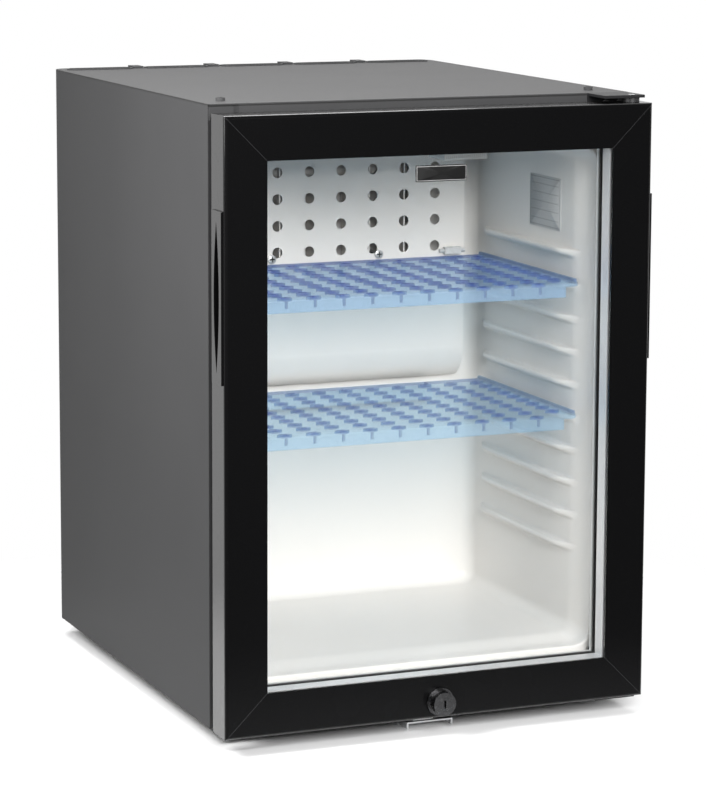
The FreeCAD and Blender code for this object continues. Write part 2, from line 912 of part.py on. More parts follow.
def evaporator():
    x, y = size("evaporator_x"), size("evaporator_y")
    high, low = size("evaporator_high_z"), size("evaporator_low_z")
    end = size("joint_y")
    points = [(x, end, high), (x, y, high), (-x, y, high), (-x, y, low), (x, y, low), (x, end, low)]
    vectors = [FreeCAD.Vector(*point) for point in points]
    bend, diameter = size("evaporator_bend"), size("evaporator_bore")
    pipe = tube("evaporator_pipe", vectors, bend, diameter, size("pipe_wall"))
    middle = "(evaporator_high_z + evaporator_low_z) / 2"
    fins = []
    bore = "evaporator_bore + 2 * fin_fit"
    for number, step in enumerate(centred(size("fin_count"))):
        left, right = f"{step} * fin_pitch - fin_sheet / 2", f"{step} * fin_pitch + fin_sheet / 2"
        plate = block(
            f"fin_plate_{number}",
            (left, "plate_back", f"{middle} - fin_rise / 2"),
            (right, "liner_back - fin_gap", f"{middle} + fin_rise / 2"),
        )
        holes = []
        for z in ("evaporator_high_z", "evaporator_low_z"):
            start = (f"{left} - overrun", "evaporator_y", z)
            holes.append(rod(f"fin_hole_{number}_{z}", "x", start, "2 * overrun + fin_sheet", bore))
        fins.append(cut(f"fin_{number}", plate, *holes))
    return pipe, gather("evaporator_fins", *fins)


def sensor():
    left, right = "clip_x - clip_width / 2", "clip_x + clip_width / 2"
    low, high = "clip_z - clip_height / 2", "clip_z + clip_height / 2"
    lump = block("clip_block", (left, "plate_front - clip_thick", low), (right, "plate_front", high))
    start = ("clip_x - sensor_length / 2", "plate_front - clip_thick / 2", "clip_z")
    seat = rod("clip_seat", "x", start, "sensor_length", "sensor_bore + 2 * clip_fit")
    bulb = rod("sensor_bulb", "x", start, "sensor_length", "sensor_bore")
    return cut("sensor_clip", lump, seat), bulb


def drip_channel():
    left, right = pair("drip_width / 2")
    outer = block("drip_outer", (left, "drip_front", "drip_low_z"), (right, "liner_back", "drip_high_z"))
    inner = block(
        "drip_inner",
        (f"{left} + drip_wall", "drip_front + drip_wall", "drip_low_z + drip_wall"),
        (f"{right} - drip_wall", "liner_back - drip_wall", "drip_high_z + overrun"),
    )
    start = ("drain_x", "liner_back - drip_depth / 2", "drain_z")
    hole = rod("drip_hole", "y", start, "drip_depth", "drain_bore + 2 * pipe_fit")
    return cut("drip_channel", outer, inner, hole)


def drain_tube():
    x, z = size("drain_x"), size("drain_z")
    start, turn = size("liner_back") - size("drip_wall"), size("drain_y")
    end = size("tray_z") + size("tray_floor") + size("drain_end")
    points = [FreeCAD.Vector(x, start, z), FreeCAD.Vector(x, turn, z), FreeCAD.Vector(x, turn, end)]
    return tube("drain_tube", points, size("drain_bend"), size("drain_bore"), size("pipe_wall"))


def lamp():
    left, right = "lamp_x - lamp_width / 2", "lamp_x + lamp_width / 2"
    front, back = "front_y + lamp_setback", "front_y + lamp_setback + lamp_depth"
    seat = "roof_z - lamp_base"
    low = f"{seat} - lamp_lens"
    base = block("lamp_base", (left, front, seat), (right, back, "roof_z"))
    outer = block("lens_outer", (left, front, low), (right, back, seat))
    inner = block(
        "lens_inner",
        (f"{left} + lamp_wall", f"{front} + lamp_wall", f"{low} + lamp_wall"),
        (f"{right} - lamp_wall", f"{back} - lamp_wall", f"{seat} + overrun"),
    )
    return base, cut("lamp_lens", outer, inner)


# Door


def mitre(sign_x, sign_z, keep):
    # the triangle that leaves a 45 degree end on an upright or a level member
    corner_z = "door_high" if sign_z > 0 else "door_low"
    far_x = f"{sign_x} * (half_door + overrun)"
    far_z = f"{corner_z} + {sign_z} * overrun"
    near_x = f"{sign_x} * (half_door - frame_face - overrun)"
    near_z = f"{corner_z} - {sign_z} * (frame_face + overrun)"
    if keep == "upright":
        return [(far_x, far_z), (near_x, far_z), (near_x, near_z)]
    return [(far_x, far_z), (far_x, near_z), (near_x, near_z)]


def member_profile(outer, inward):
    # an open L with a lip over the glass, as (place across, y) pairs, and its hollow
    def across(rule):
        return f"({outer}) + {inward} * ({rule})"

    shape = [
        (across("0"), "door_face"),
        (across("frame_face"), "door_face"),
        (across("frame_face"), "pane_front"),
        (across("frame_box"), "pane_front"),
        (across("frame_box"), "door_back"),
        (across("0"), "door_back"),
    ]
    hollow = [
        (across("frame_wall"), "door_face + frame_wall"),
        (across("frame_box - frame_wall"), "door_face + frame_wall"),
        (across("frame_box - frame_wall"), "door_back - frame_wall"),
        (across("frame_wall"), "door_back - frame_wall"),
    ]
    return shape, hollow


def stile(name, sign):
    body = new_body(name)
    shape, hollow = member_profile(f"{sign} * half_door", -sign)
    prism(body, "XY", "door_low", "door_high", shape, hollow)
    soften(body, "frame_round", upright_at(sign * size("half_door"), size("door_face")))
    ends = [mitre(sign, end, "upright") for end in (-1, 1)]
    carve(body, "XZ", "door_face - overrun", "door_back + overrun", *ends)
    window = rectangle(
        "grip_y - grip_recess_width / 2 - grip_wall - grip_fit",
        "grip_y + grip_recess_width / 2 + grip_wall + grip_fit",
        "grip_mid - grip_recess_length / 2 - grip_wall - grip_fit",
        "grip_mid + grip_recess_length / 2 + grip_wall + grip_fit",
    )
    if sign > 0:
        carve(body, "YZ", "half_door - frame_wall - overrun", "half_door + overrun", window)
    else:
        carve(body, "YZ", "-half_door - overrun", "-half_door + frame_wall + overrun", window)
    return body


def door_rail(name, sign):
    body = new_body(name)
    outer = "door_high" if sign > 0 else "door_low"
    shape, hollow = member_profile(outer, -sign)
    swapped = [[(y, z) for z, y in loop] for loop in (shape, hollow)]
    prism(body, "YZ", "-half_door", "half_door", *swapped)
    edge_z, edge_y = size(outer), size("door_face")

    def front_edge(edge):
        return along(edge, "x") and edge_at(edge, "z", edge_z) and edge_at(edge, "y", edge_y)

    soften(body, "frame_round", front_edge)
    ends = [mitre(side, sign, "level") for side in (-1, 1)]
    carve(body, "XZ", "door_face - overrun", "door_back + overrun", *ends)
    bush = [(("hinge_x", "hinge_y"), "bush_sleeve + 2 * bush_fit")]
    if sign > 0:
        carve(body, "XY", "door_high - frame_wall - overrun", "door_high + overrun", circles=bush)
        return body
    slot = rectangle("-cam_length", "cam_width / 2 + cam_room", "cam_front - cam_gap", "cam_back + cam_gap")
    carve(body, "XY", "door_low - overrun", "door_low + frame_wall + overrun", slot, circles=bush)
    lock_hole = [(("0", "lock_z"), "lock_shank + 2 * nut_fit")]
    carve(body, "XZ", "door_face - overrun", "door_face + frame_wall + overrun", circles=lock_hole)
    return body


def corner_keys():
    near = "frame_wall + key_fit"
    far = "frame_box - frame_wall - key_fit"
    front = f"door_face + {near}"
    keys = []
    for number, (side, end) in enumerate(((-1, -1), (1, -1), (-1, 1), (1, 1))):
        body = new_body(f"corner_key_{number}")
        edge_z = "door_high" if end > 0 else "door_low"

        def corner(across, up):
            return (f"{side} * (half_door - ({across}))", f"{edge_z} - {end} * ({up})")

        shape = [
            corner(near, near),
            corner("key_leg", near),
            corner("key_leg", far),
            corner(far, far),
            corner(far, "key_leg"),
            corner(near, "key_leg"),
        ]
        prism(body, "XZ", front, f"{front} + key_thick", shape)
        keys.append(body)
    return gather("corner_keys", *keys)


def glazing():
    def pane(name, front, back):
        return block(name, ("-pane_x", front, "pane_low"), ("pane_x", back, "pane_high"))

    outer = pane("outer_pane", "pane_front", "spacer_front")
    inner = pane("inner_pane", "spacer_back", "pane_back")
    seal = ring("edge_seal", "pane_x", "pane_low", "pane_high", "spacer_front", "spacer_back", "seal_width")
    spacer = ring(
        "glazing_spacer",
        "pane_x - seal_width",
        "pane_low + seal_width",
        "pane_high - seal_width",
        "spacer_front",
        "spacer_back",
        "pane_x - seal_width - sight_x - spacer_show",
    )
    edge = "frame_box + bead_fit"
    bead = ring(
        "glazing_bead",
        f"half_door - ({edge})",
        f"door_low + {edge}",
        f"door_high - ({edge})",
        "pane_back",
        "door_back",
        f"frame_face - ({edge})",
    )
    return outer, inner, seal, spacer, bead


def gasket():
    foot_end = "door_back + gasket_foot"
    foot = ring("gasket_base", "gasket_x", "gasket_low", "gasket_high", "door_back", foot_end, "gasket_width")
    tip = ring(
        "gasket_tip",
        "gasket_x - gasket_step",
        "gasket_low + gasket_step",
        "gasket_high - gasket_step",
        foot_end,
        "gasket_end",
        "gasket_width - 2 * gasket_step",
    )
    inset = "(gasket_width - magnet_width) / 2"
    room = f"{inset} - magnet_fit"
    groove_end = "door_back + magnet_thick + magnet_fit"
    groove = ring(
        "gasket_groove",
        f"gasket_x - ({room})",
        f"gasket_low + {room}",
        f"gasket_high - ({room})",
        "door_back - overrun",
        groove_end,
        "magnet_width + 2 * magnet_fit",
    )
    seal = cut("door_gasket", join("gasket_solid", foot, tip), groove)
    edge_x, edge_low, edge_high = f"gasket_x - ({inset})", f"gasket_low + {inset}", f"gasket_high - ({inset})"
    back = "door_back + magnet_thick"
    low = f"{edge_low} + magnet_width + magnet_fit"
    high = f"{edge_high} - magnet_width - magnet_fit"
    near_x = f"{edge_x} - magnet_width"
    spans = {
        "magnet_top": (f"-({edge_x})", edge_x, f"{edge_high} - magnet_width", edge_high),
        "magnet_bottom": (f"-({edge_x})", edge_x, edge_low, f"{edge_low} + magnet_width"),
        "magnet_left": (f"-({edge_x})", f"-({near_x})", low, high),
        "magnet_right": (near_x, edge_x, low, high),
    }
    strips = []
    for name, (left, right, under, over) in spans.items():
        strips.append(block(name, (left, "door_back", under), (right, back, over)))
    return seal, gather("gasket_magnets", *strips)


def finger_grip(name, sign):
    outer, face = f"{sign} * (half_door + grip_proud)", f"{sign} * half_door"
    floor = f"{sign} * (half_door - grip_recess_depth)"
    back = f"{sign} * (half_door - grip_recess_depth - grip_wall)"
    far = f"{sign} * (half_door + grip_proud + overrun)"
    spans = [(face, outer), (back, face), (floor, far)]
    if sign < 0:
        spans = [(end, start) for start, end in spans]
    plate_span, cup_span, recess_span = spans
    grip_back = "grip_front + grip_width"
    plate_low = (plate_span[0], "grip_front", "grip_low")
    plate = block(f"{name}_plate", plate_low, (plate_span[1], grip_back, "grip_high"))
    long, wide = "grip_recess_length", "grip_recess_width"
    cup_size = (f"{long} + 2 * grip_wall", f"{wide} + 2 * grip_wall")
    cup = lens(f"{name}_cup", *cup_span, "grip_y", "grip_mid", *cup_size)
    recess = lens(f"{name}_recess", *recess_span, "grip_y", "grip_mid", long, wide)
    return cut(name, join(f"{name}_solid", plate, cup), recess)


def lock():
    front = "door_face - lock_proud"
    head = rod("lock_head_rod", "y", ("0", front, "lock_z"), "lock_proud", "lock_head")
    collar_at = ("0", "door_face - lock_collar_thick", "lock_z")
    collar = rod("lock_collar_rod", "y", collar_at, "lock_collar_thick", "lock_collar")
    shank = rod("lock_shank_rod", "y", ("0", "door_face", "lock_z"), "lock_shank_length", "lock_shank")
    through = "lock_proud + lock_shank_length + 2 * overrun"
    bore = rod("lock_bore", "y", ("0", f"{front} - overrun", "lock_z"), through, "lock_plug + 2 * lock_fit")
    barrel = cut("lock_barrel", join("lock_solid", head, collar, shank), bore)
    nut = doc.addObject("Part::Prism", "nut_hex")
    nut.Polygon = 6
    nut.Placement = FreeCAD.Placement(FreeCAD.Vector(), TURNS["y"])
    bind(nut, "Circumradius", "nut_corner")
    bind(nut, "Height", "nut_thick")
    place(nut, ("0", "door_face + frame_wall", "lock_z"))
    nut_start = ("0", "door_face + frame_wall - overrun", "lock_z")
    nut_bore = rod("nut_bore", "y", nut_start, "nut_thick + 2 * overrun", "lock_shank + 2 * nut_fit")
    lock_nut = cut("lock_nut", nut, nut_bore)
    core = rod("plug_core", "y", ("0", front, "lock_z"), f"cam_front - ({front})", "lock_plug")
    slot = block(
        "plug_slot",
        ("-key_slot_width / 2", f"{front} - overrun", "lock_z - key_slot_length / 2"),
        ("key_slot_width / 2", f"{front} + key_slot_depth", "lock_z + key_slot_length / 2"),
    )
    plug = cut("lock_plug", core, slot)
    arm = block(
        "cam_arm",
        ("-cam_length", "cam_front", "lock_z - cam_width / 2"),
        ("0", "cam_back", "lock_z + cam_width / 2"),
    )
    hub = rod("cam_hub_disc", "y", ("0", "cam_front", "lock_z"), "cam_thick", "cam_hub")
    return barrel, lock_nut, plug, join("lock_cam", arm, hub)


# Hinges, strike, feet and screws


def hinge_brackets():
    low = "cabinet_high - hinge_plate"
    arm = block("hinge_arm", ("hinge_left", "hinge_front", low), ("hinge_right", "front_y", "cabinet_high"))
    flange_low = "cabinet_high - hinge_flange"
    flange = block(
        "hinge_flange_plate",
        ("hinge_left", "front_y - hinge_plate", flange_low),
        ("hinge_right", "front_y", "cabinet_high"),
    )
    pin_start = ("hinge_x", "hinge_y", f"{low} - overrun")
    pin_hole = rod("hinge_pin_hole", "z", pin_start, "2 * overrun + hinge_plate", "pin_bore")
    screw_holes = []
    for number, x in enumerate(hinge_screw_places()):
        start = (x, "front_y - hinge_plate - overrun", "hinge_screw_z")
        deep = "hinge_plate + overrun"
        screw_holes.append(rod(f"hinge_screw_hole_{number}", "y", start, deep, "screw_shank"))
    top = cut("hinge_bracket_top", join("hinge_top_solid", arm, flange), pin_hole, *screw_holes)
    foot_low = "cabinet_low - hinge_foot_plate"
    foot_end = ("hinge_right", "front_y + hinge_tail", "cabinet_low")
    foot = block("hinge_foot", ("hinge_left", "hinge_front", foot_low), foot_end)
    through = "2 * overrun + hinge_foot_plate"
    foot_start = ("hinge_x", "hinge_y", f"{foot_low} - overrun")
    foot_pin = rod("hinge_foot_pin_hole", "z", foot_start, through, "pin_bore")
    foot_holes = []
    for number, x in enumerate(hinge_screw_places()):
        start = (x, "hinge_foot_screw_y", f"{foot_low} - overrun")
        foot_holes.append(rod(f"hinge_foot_screw_hole_{number}", "z", start, through, "screw_shank"))
    bottom = cut("hinge_bracket_bottom", foot, foot_pin, *foot_holes)
    pin_top = rod(
        "hinge_pin_top",
        "z",
        ("hinge_x", "hinge_y", "door_high - pin_reach"),
        "cabinet_high - door_high + pin_reach",
        "pin_bore",
    )
    pin_bottom = rod(
        "hinge_pin_bottom",
        "z",
        ("hinge_x", "hinge_y", foot_low),
        f"door_low + pin_reach - ({foot_low})",
        "pin_bore",
    )
    return top, bottom, gather("hinge_pins", pin_top, pin_bottom)


def hinge_bushes():
    bore = "pin_bore + 2 * pin_fit"
    top_high = "cabinet_high - hinge_plate - bush_gap"
    top_sleeve = rod(
        "bush_top_sleeve", "z", ("hinge_x", "hinge_y", "door_high - bush_depth"), "bush_depth", "bush_sleeve"
    )
    top_flange = rod(
        "bush_top_flange", "z", ("hinge_x", "hinge_y", "door_high"), f"{top_high} - door_high", "bush_flange"
    )
    top_bore = rod(
        "bush_top_bore",
        "z",
        ("hinge_x", "hinge_y", "door_high - bush_depth - overrun"),
        "bush_depth + door_drop + 2 * overrun",
        bore,
    )
    top = cut("hinge_bush_top", join("bush_top_solid", top_sleeve, top_flange), top_bore)
    low = "cabinet_low + bush_gap"
    sleeve = rod("bush_bottom_sleeve", "z", ("hinge_x", "hinge_y", "door_low"), "bush_depth", "bush_sleeve")
    flange = rod("bush_bottom_flange", "z", ("hinge_x", "hinge_y", low), f"door_low - ({low})", "bush_flange")
    bottom_bore = rod(
        "bush_bottom_bore",
        "z",
        ("hinge_x", "hinge_y", f"{low} - overrun"),
        "bush_depth + door_lift + 2 * overrun",
        bore,
    )
    bottom = cut("hinge_bush_bottom", join("bush_bottom_solid", sleeve, flange), bottom_bore)
    return gather("hinge_bushes", top, bottom)


def hinge_cover():
    high = "cabinet_high - sheet"
    return block(
        "hinge_cover",
        ("-hinge_right", "front_y - cover_thick", f"{high} - cover_height"),
        ("-hinge_right + cover_width", "front_y", high),
    )


def strike_bracket():
    left, right = pair("strike_width / 2")

    def sheet(name, left, right, front, back, low, high):
        return block(f"strike_{name}", (left, front, low), (right, back, high))

    riser_front = "strike_back - strike_sheet"
    flange_low = "strike_low - strike_flange"
    tail_low = "cabinet_low - strike_sheet"
    near_left, near_right = pair("strike_width / 2 - strike_sheet")
    pieces = [
        sheet("web", left, right, "strike_front", "strike_back", "strike_low", "strike_high"),
        sheet("riser", left, right, riser_front, "strike_back", "strike_low", "cabinet_low"),
        sheet("tail", left, right, riser_front, "front_y + strike_tail", tail_low, "cabinet_low"),
        sheet("side_left", left, near_left, "strike_front", "strike_back", flange_low, "strike_high"),
        sheet("side_right", near_right, right, "strike_front", "strike_back", flange_low, "strike_high"),
    ]
    slot = block(
        "strike_slot",
        ("-cam_length / 2 - cam_room", "cam_front - cam_gap", "strike_low - overrun"),
        ("cam_width / 2 + cam_room", "cam_back + cam_gap", "strike_high + overrun"),
    )
    holes = []
    for number, x in enumerate(pair("screw_pitch / 2")):
        start = (x, "strike_screw_y", f"{tail_low} - overrun")
        deep = "strike_sheet + 2 * overrun"
        holes.append(rod(f"strike_screw_hole_{number}", "z", start, deep, "screw_shank"))
    return cut("strike_bracket", join("strike_solid", *pieces), slot, *holes)


def feet():
    nodes = []
    for name, (x, y) in foot_places().items():
        cone = doc.addObject("Part::Cone", f"{name}_cone")
        bind(cone, "Radius1", "foot_base / 2")
        bind(cone, "Radius2", "foot_top / 2")
        bind(cone, "Height", "foot_height")
        place(cone, (x, y, "0"))
        hole = rod(f"{name}_hole", "z", (x, y, "-overrun"), "foot_height + 2 * overrun", "screw_shank")
        depth = "foot_height - foot_seat + overrun"
        sink = rod(f"{name}_sink", "z", (x, y, "-overrun"), depth, "screw_head + 2 * screw_room")
        nodes.append(cut(name, cone, hole, sink))
    return gather("feet", *nodes)


def screw(name, axis, spot, head, shank):
    # a pan head and its shank, each given as (start, length) along the axis
    order = "xyz".index(axis)

    def at(start):
        corner = list(spot)
        corner.insert(order, start)
        return tuple(corner)

    cap = rod(f"{name}_head", axis, at(head[0]), head[1], "screw_head")
    stem = rod(f"{name}_stem", axis, at(shank[0]), shank[1], "screw_shank")
    return join(name, cap, stem)


def cabinet_screws():
    screws = []

    def add(name, axis, spot, seat, length):
        # the head sits below its seat and the stem rises from it along the axis
        head = (f"{seat} - screw_head_thick", "screw_head_thick")
        screws.append(screw(name, axis, spot, head, (seat, length)))

    for number, x in enumerate(hinge_screw_places()):
        front, under = "front_y - hinge_plate", "cabinet_low - hinge_foot_plate"
        add(f"hinge_screw_{number}", "y", (x, "hinge_screw_z"), front, "hinge_plate + sheet")
        spot = (x, "hinge_foot_screw_y")
        add(f"hinge_foot_screw_{number}", "z", spot, under, "hinge_foot_plate + sheet")
    for number, x in enumerate(pair("screw_pitch / 2")):
        under = "cabinet_low - strike_sheet"
        add(f"strike_screw_{number}", "z", (x, "strike_screw_y"), under, "strike_sheet + sheet")
    for number, x in enumerate(pair("plate_screw_x")):
        add(f"plate_screw_{number}", "y", (x, "plate_screw_up"), "plate_front", "liner_back - plate_front")
    for number, spot in enumerate(foot_places().values()):
        add(f"foot_screw_{number}", "z", spot, "foot_height - foot_seat", "foot_seat + sheet")
    for number, x in enumerate(pair("top_screw_x")):
        # these two point down, with the head above the top panel
        head = ("cabinet_high", "screw_head_thick")
        screws.append(screw(f"top_screw_{number}", "z", (x, "top_screw_y"), head, ("skin_high", "sheet")))
    return gather("cabinet_screws", *screws)


# Shelves


def shelf(name, level):
    body = new_body(name)
    left, right = pair("half_shelf")
    top = f"{level} + shelf_plate"
    prism(body, "XY", level, top, rectangle(left, right, "shelf_front", "shelf_rear"))
    front = size("shelf_front")
    soften(body, "shelf_round", lambda e: along(e, "z") and edge_at(e, "y", front))
    sides = [
        rectangle(left, f"{left} + shelf_plate", "shelf_front + shelf_round", "shelf_rear"),
        rectangle(f"{right} - shelf_plate", right, "shelf_front + shelf_round", "shelf_rear"),
    ]
    prism(body, "XY", level, f"{level} + shelf_rim", sides[0])
    prism(body, "XY", level, f"{level} + shelf_rim", sides[1])
    lip_left, lip_right = pair("half_shelf - shelf_round - shelf_lip_inset")
    lip_low = f"{level} - shelf_lip"
    lip_back = "shelf_front + shelf_plate"
    columns = centred(size("shelf_slot_columns"))
    front_columns = columns[1:-1]
    prism(body, "XY", lip_low, top, rectangle(lip_left, lip_right, "shelf_front", lip_back))
    ticks = [
        rectangle(
            f"{step} * shelf_slot_pitch - shelf_tick_width / 2",
            f"{step} * shelf_slot_pitch + shelf_tick_width / 2",
            "shelf_front",
            f"{lip_back} + shelf_tick_reach",
        )
        for step in front_columns
    ]
    for tick in ticks:
        prism(body, "XY", f"{level} - shelf_tick_height", top, tick)
    front_row = "shelf_front + shelf_first_row"
    front_slots = [slot_outline(f"{step} * shelf_slot_pitch", front_row) for step in front_columns]
    carve(body, "XY", level, top, *front_slots)
    row = "shelf_front + shelf_second_row"
    pattern_rows(body, level, top, [slot_outline(f"{step} * shelf_slot_pitch", row) for step in columns])
    return body


def slot_outline(x, y):
    # a long hexagon, pointed at both ends
    long, wide = "shelf_slot_length / 2", "shelf_slot_width / 2"
    shoulder = f"{x} - shelf_slot_flat / 2", f"{x} + shelf_slot_flat / 2"
    return [
        (f"{x} - {long}", y),
        (shoulder[0], f"{y} - {wide}"),
        (shoulder[1], f"{y} - {wide}"),
        (f"{x} + {long}", y),
        (shoulder[1], f"{y} + {wide}"),
        (shoulder[0], f"{y} + {wide}"),
    ]


def pattern_rows(body, low, high, outlines):
    pocket = carve(body, "XY", low, high, *outlines)
    doc.recompute()
    pattern = body.newObject("PartDesign::LinearPattern", f"{body.Name}_rows")
    pattern.Originals = [pocket]
    axis = [part for part in body.Origin.OriginFeatures if part.Role == "Y_Axis"]
    pattern.Direction = (axis[0], [""])
    bind(pattern, "Length", "shelf_row_pitch * (shelf_rows - 1)")
    bind(pattern, "Occurrences", "shelf_rows")
    body.Tip = pattern


# Cooling unit in the rear compartment


def boiler():
    low = "cabinet_low + jacket_low"
    height = "jacket_high - jacket_low"
    inner = "boiler_jacket - 2 * jacket_sheet"

    def upright(name, x, start, length, diameter):
        return rod(name, "z", (x, "unit_y", start), length, diameter)

    def through(name, x, start, length, diameter):
        return upright(name, x, f"{start} - overrun", f"{length} + 2 * overrun", diameter)

    x, heater_x = "-boiler_x", "-boiler_x + heater_offset"
    outer = upright("jacket_outer", x, low, height, "boiler_jacket")
    jacket = cut("boiler_jacket", outer, through("jacket_inner", x, low, height, inner))
    fill = upright("wool_solid", x, low, height, inner)
    pipe_hole = through("wool_pipe_hole", x, low, height, "boiler_bore + 2 * heater_fit")
    heater_bore = "heater_bore + 2 * heater_fit"
    hole_low, hole_length = f"{low} - overrun", "heater_length + overrun"
    heater_hole = upright("wool_heater_hole", heater_x, hole_low, hole_length, heater_bore)
    wool = cut("boiler_insulation", fill, pipe_hole, heater_hole)
    heater = upright("heater_cartridge", heater_x, low, "heater_length", "heater_bore")
    tall = "boiler_high_z - boiler_low_z"
    wall = upright("boiler_outer", x, "boiler_low_z", tall, "boiler_bore")
    inside = through("boiler_inner", x, "boiler_low_z", tall, "boiler_bore - 2 * boiler_wall")
    return jacket, wool, heater, cut("boiler_tube", wall, inside)


def unit_pipes():
    y = size("unit_y")
    left, wall = -size("boiler_x"), size("pipe_wall")
    top, right = size("condenser_z"), size("evaporator_x")
    boiler_top, boiler_low = size("boiler_high_z"), size("boiler_low_z")
    vessel_z, vessel_left = size("vessel_z"), -size("vessel_left")
    high_z, joint = size("evaporator_high_z"), size("joint_y")

    def route(*points):
        return [FreeCAD.Vector(*point) for point in points]

    over = [(left, y, boiler_top), (left, y, top), (right, y, top)]
    over += [(right, y, high_z), (right, joint, high_z)]
    condenser = tube(
        "condenser_pipe",
        route(*over),
        size("condenser_bend"),
        size("condenser_bore"),
        wall,
    )
    solution = tube(
        "solution_pipe",
        route((vessel_left, y, vessel_z), (left, y, vessel_z), (left, y, boiler_low)),
        size("solution_bend"),
        size("solution_bore"),
        wall,
    )
    return condenser, solution


def absorber_coil():
    y, joint = size("unit_y"), size("joint_y")
    right, left = size("coil_right"), -size("coil_left")
    base = size("cabinet_low") + size("coil_first")
    pitch = size("coil_pitch")
    end_x, end_z = size("evaporator_x"), size("evaporator_low_z")
    bottom = size("vessel_z") + size("vessel_bore") / 2
    levels = [base, base + pitch, base + 2 * pitch]
    points = [
        (right, y, bottom),
        (right, y, levels[0]),
        (left, y, levels[0]),
        (left, y, levels[1]),
        (right, y, levels[1]),
        (right, y, levels[2]),
        (left, y, levels[2]),
        (left, y, end_z),
        (end_x, y, end_z),
        (end_x, joint, end_z),
    ]
    vectors = [FreeCAD.Vector(*point) for point in points]
    return tube("absorber_coil", vectors, size("coil_bend"), size("coil_bore"), size("pipe_wall"))


def condenser_fins():
    fins = []
    for number, step in enumerate(centred(size("condenser_fins"))):
        left = f"{step} * condenser_fin_pitch - fin_sheet / 2"
        right = f"{step} * condenser_fin_pitch + fin_sheet / 2"
        plate = block(
            f"condenser_plate_{number}",
            (left, "unit_y - condenser_fin_depth / 2", "condenser_z - condenser_fin_rise / 2"),
            (right, "unit_y + condenser_fin_depth / 2", "condenser_z + condenser_fin_rise / 2"),
        )
        start = (f"{left} - overrun", "unit_y", "condenser_z")
        bore = "condenser_bore + 2 * fin_fit"
        hole = rod(f"condenser_hole_{number}", "x", start, "2 * overrun + fin_sheet", bore)
        fins.append(cut(f"condenser_fin_{number}", plate, hole))
    return gather("condenser_fins", *fins)


def vessel_and_tray():
    length = "vessel_left + vessel_right"
    start = ("-vessel_left", "unit_y", "vessel_z")
    body = new_body("vessel_solid")
    prism(body, "YZ", "-vessel_left", "vessel_right", circles=[(("unit_y", "vessel_z"), "vessel_bore")])
    soften(body, "vessel_round", lambda e: e.Curve.TypeId == "Part::GeomCircle")
    inside = ("-vessel_left + vessel_wall", "unit_y", "vessel_z")
    hollow_length, hollow_bore = f"{length} - 2 * vessel_wall", "vessel_bore - 2 * vessel_round"
    hollow = rod("vessel_hollow", "x", inside, hollow_length, hollow_bore)
    coil_foot = ("coil_right", "unit_y", "vessel_z")
    coil_port = rod("vessel_coil_port", "z", coil_foot, "vessel_bore", "coil_bore - 2 * pipe_wall")
    end = ("-vessel_left - overrun", "unit_y", "vessel_z")
    end_port = rod("vessel_end_port", "x", end, "2 * overrun", "solution_bore - 2 * pipe_wall")
    vessel = cut("absorber_vessel", body, join("vessel_inside", hollow, coil_port, end_port))
    rests = []
    for side, x in (("left", "saddle_left"), ("right", "saddle_right")):
        plate = block(
            f"saddle_{side}_block",
            (x, "unit_y - saddle_depth / 2", "skin_low"),
            (f"{x} + saddle_width", "unit_y + saddle_depth / 2", "vessel_z"),
        )
        seat = rod(f"saddle_{side}_seat", "x", start, length, "vessel_bore")
        rests.append(cut(f"saddle_{side}", plate, seat))
    middle = "drain_x"
    left, right = f"{middle} - tray_length / 2", f"{middle} + tray_length / 2"
    front, back = "unit_y - tray_width / 2", "unit_y + tray_width / 2"
    outer = block("tray_outer", (left, front, "tray_z"), (right, back, "tray_z + tray_height"))
    inner = block(
        "tray_inner",
        (f"{left} + tray_wall", f"{front} + tray_wall", "tray_z + tray_floor"),
        (f"{right} - tray_wall", f"{back} - tray_wall", "tray_z + tray_height + overrun"),
    )
    seat = rod("tray_seat", "x", start, length, "vessel_bore")
    tray = cut("evaporation_tray", outer, inner, seat)
    return vessel, gather("unit_supports", *rests, boiler_strap()), tray


def boiler_strap():
    # a bent strap from the steel bulkhead to the boiler jacket
    low, high = "cabinet_low + strap_up", "cabinet_low + strap_up + strap_width"
    left, right = "-boiler_x - strap_width", "-boiler_x + strap_width"
    foot = block("strap_foot", (left, "unit_back", low), (right, "unit_back + strap_sheet", high))
    left, right = "-boiler_x - strap_sheet", "-boiler_x + strap_sheet"
    reach = "unit_y - boiler_jacket / 2 + strap_grip"
    arm = block("strap_arm", (left, "unit_back", low), (right, reach, high))
    start = ("-boiler_x", "unit_y", f"{low} - overrun")
    hollow = rod("strap_hollow", "z", start, "strap_width + 2 * overrun", "boiler_jacket")
    return cut("boiler_strap", join("strap_solid", foot, arm), hollow)


# Terminal box


def terminal_box():
    left, right = "-box_left", "-box_right"
    outer = block("box_outer", (left, "box_front_y", "skin_low"), (right, "box_back", "box_high"))
    inner = block(
        "box_inner",
        (f"{left} + box_wall", "box_front_y + box_wall", "skin_low + box_wall"),
        (f"{right} - box_wall", "box_back - box_wall", "box_high + overrun"),
    )
    room_x, room_z = "(inlet_width / 2 + inlet_fit)", "(inlet_height / 2 + inlet_fit)"
    window = block(
        "box_window",
        (f"inlet_x - {room_x}", "box_back - box_wall - overrun", f"inlet_z - {room_z}"),
        (f"inlet_x + {room_x}", "box_back + overrun", f"inlet_z + {room_z}"),
    )
    box = cut("terminal_box", outer, inner, window)
    lid = block("terminal_lid", (left, "box_front_y", "box_high"), (right, "box_back", "box_high + box_lid"))
    return box, lid


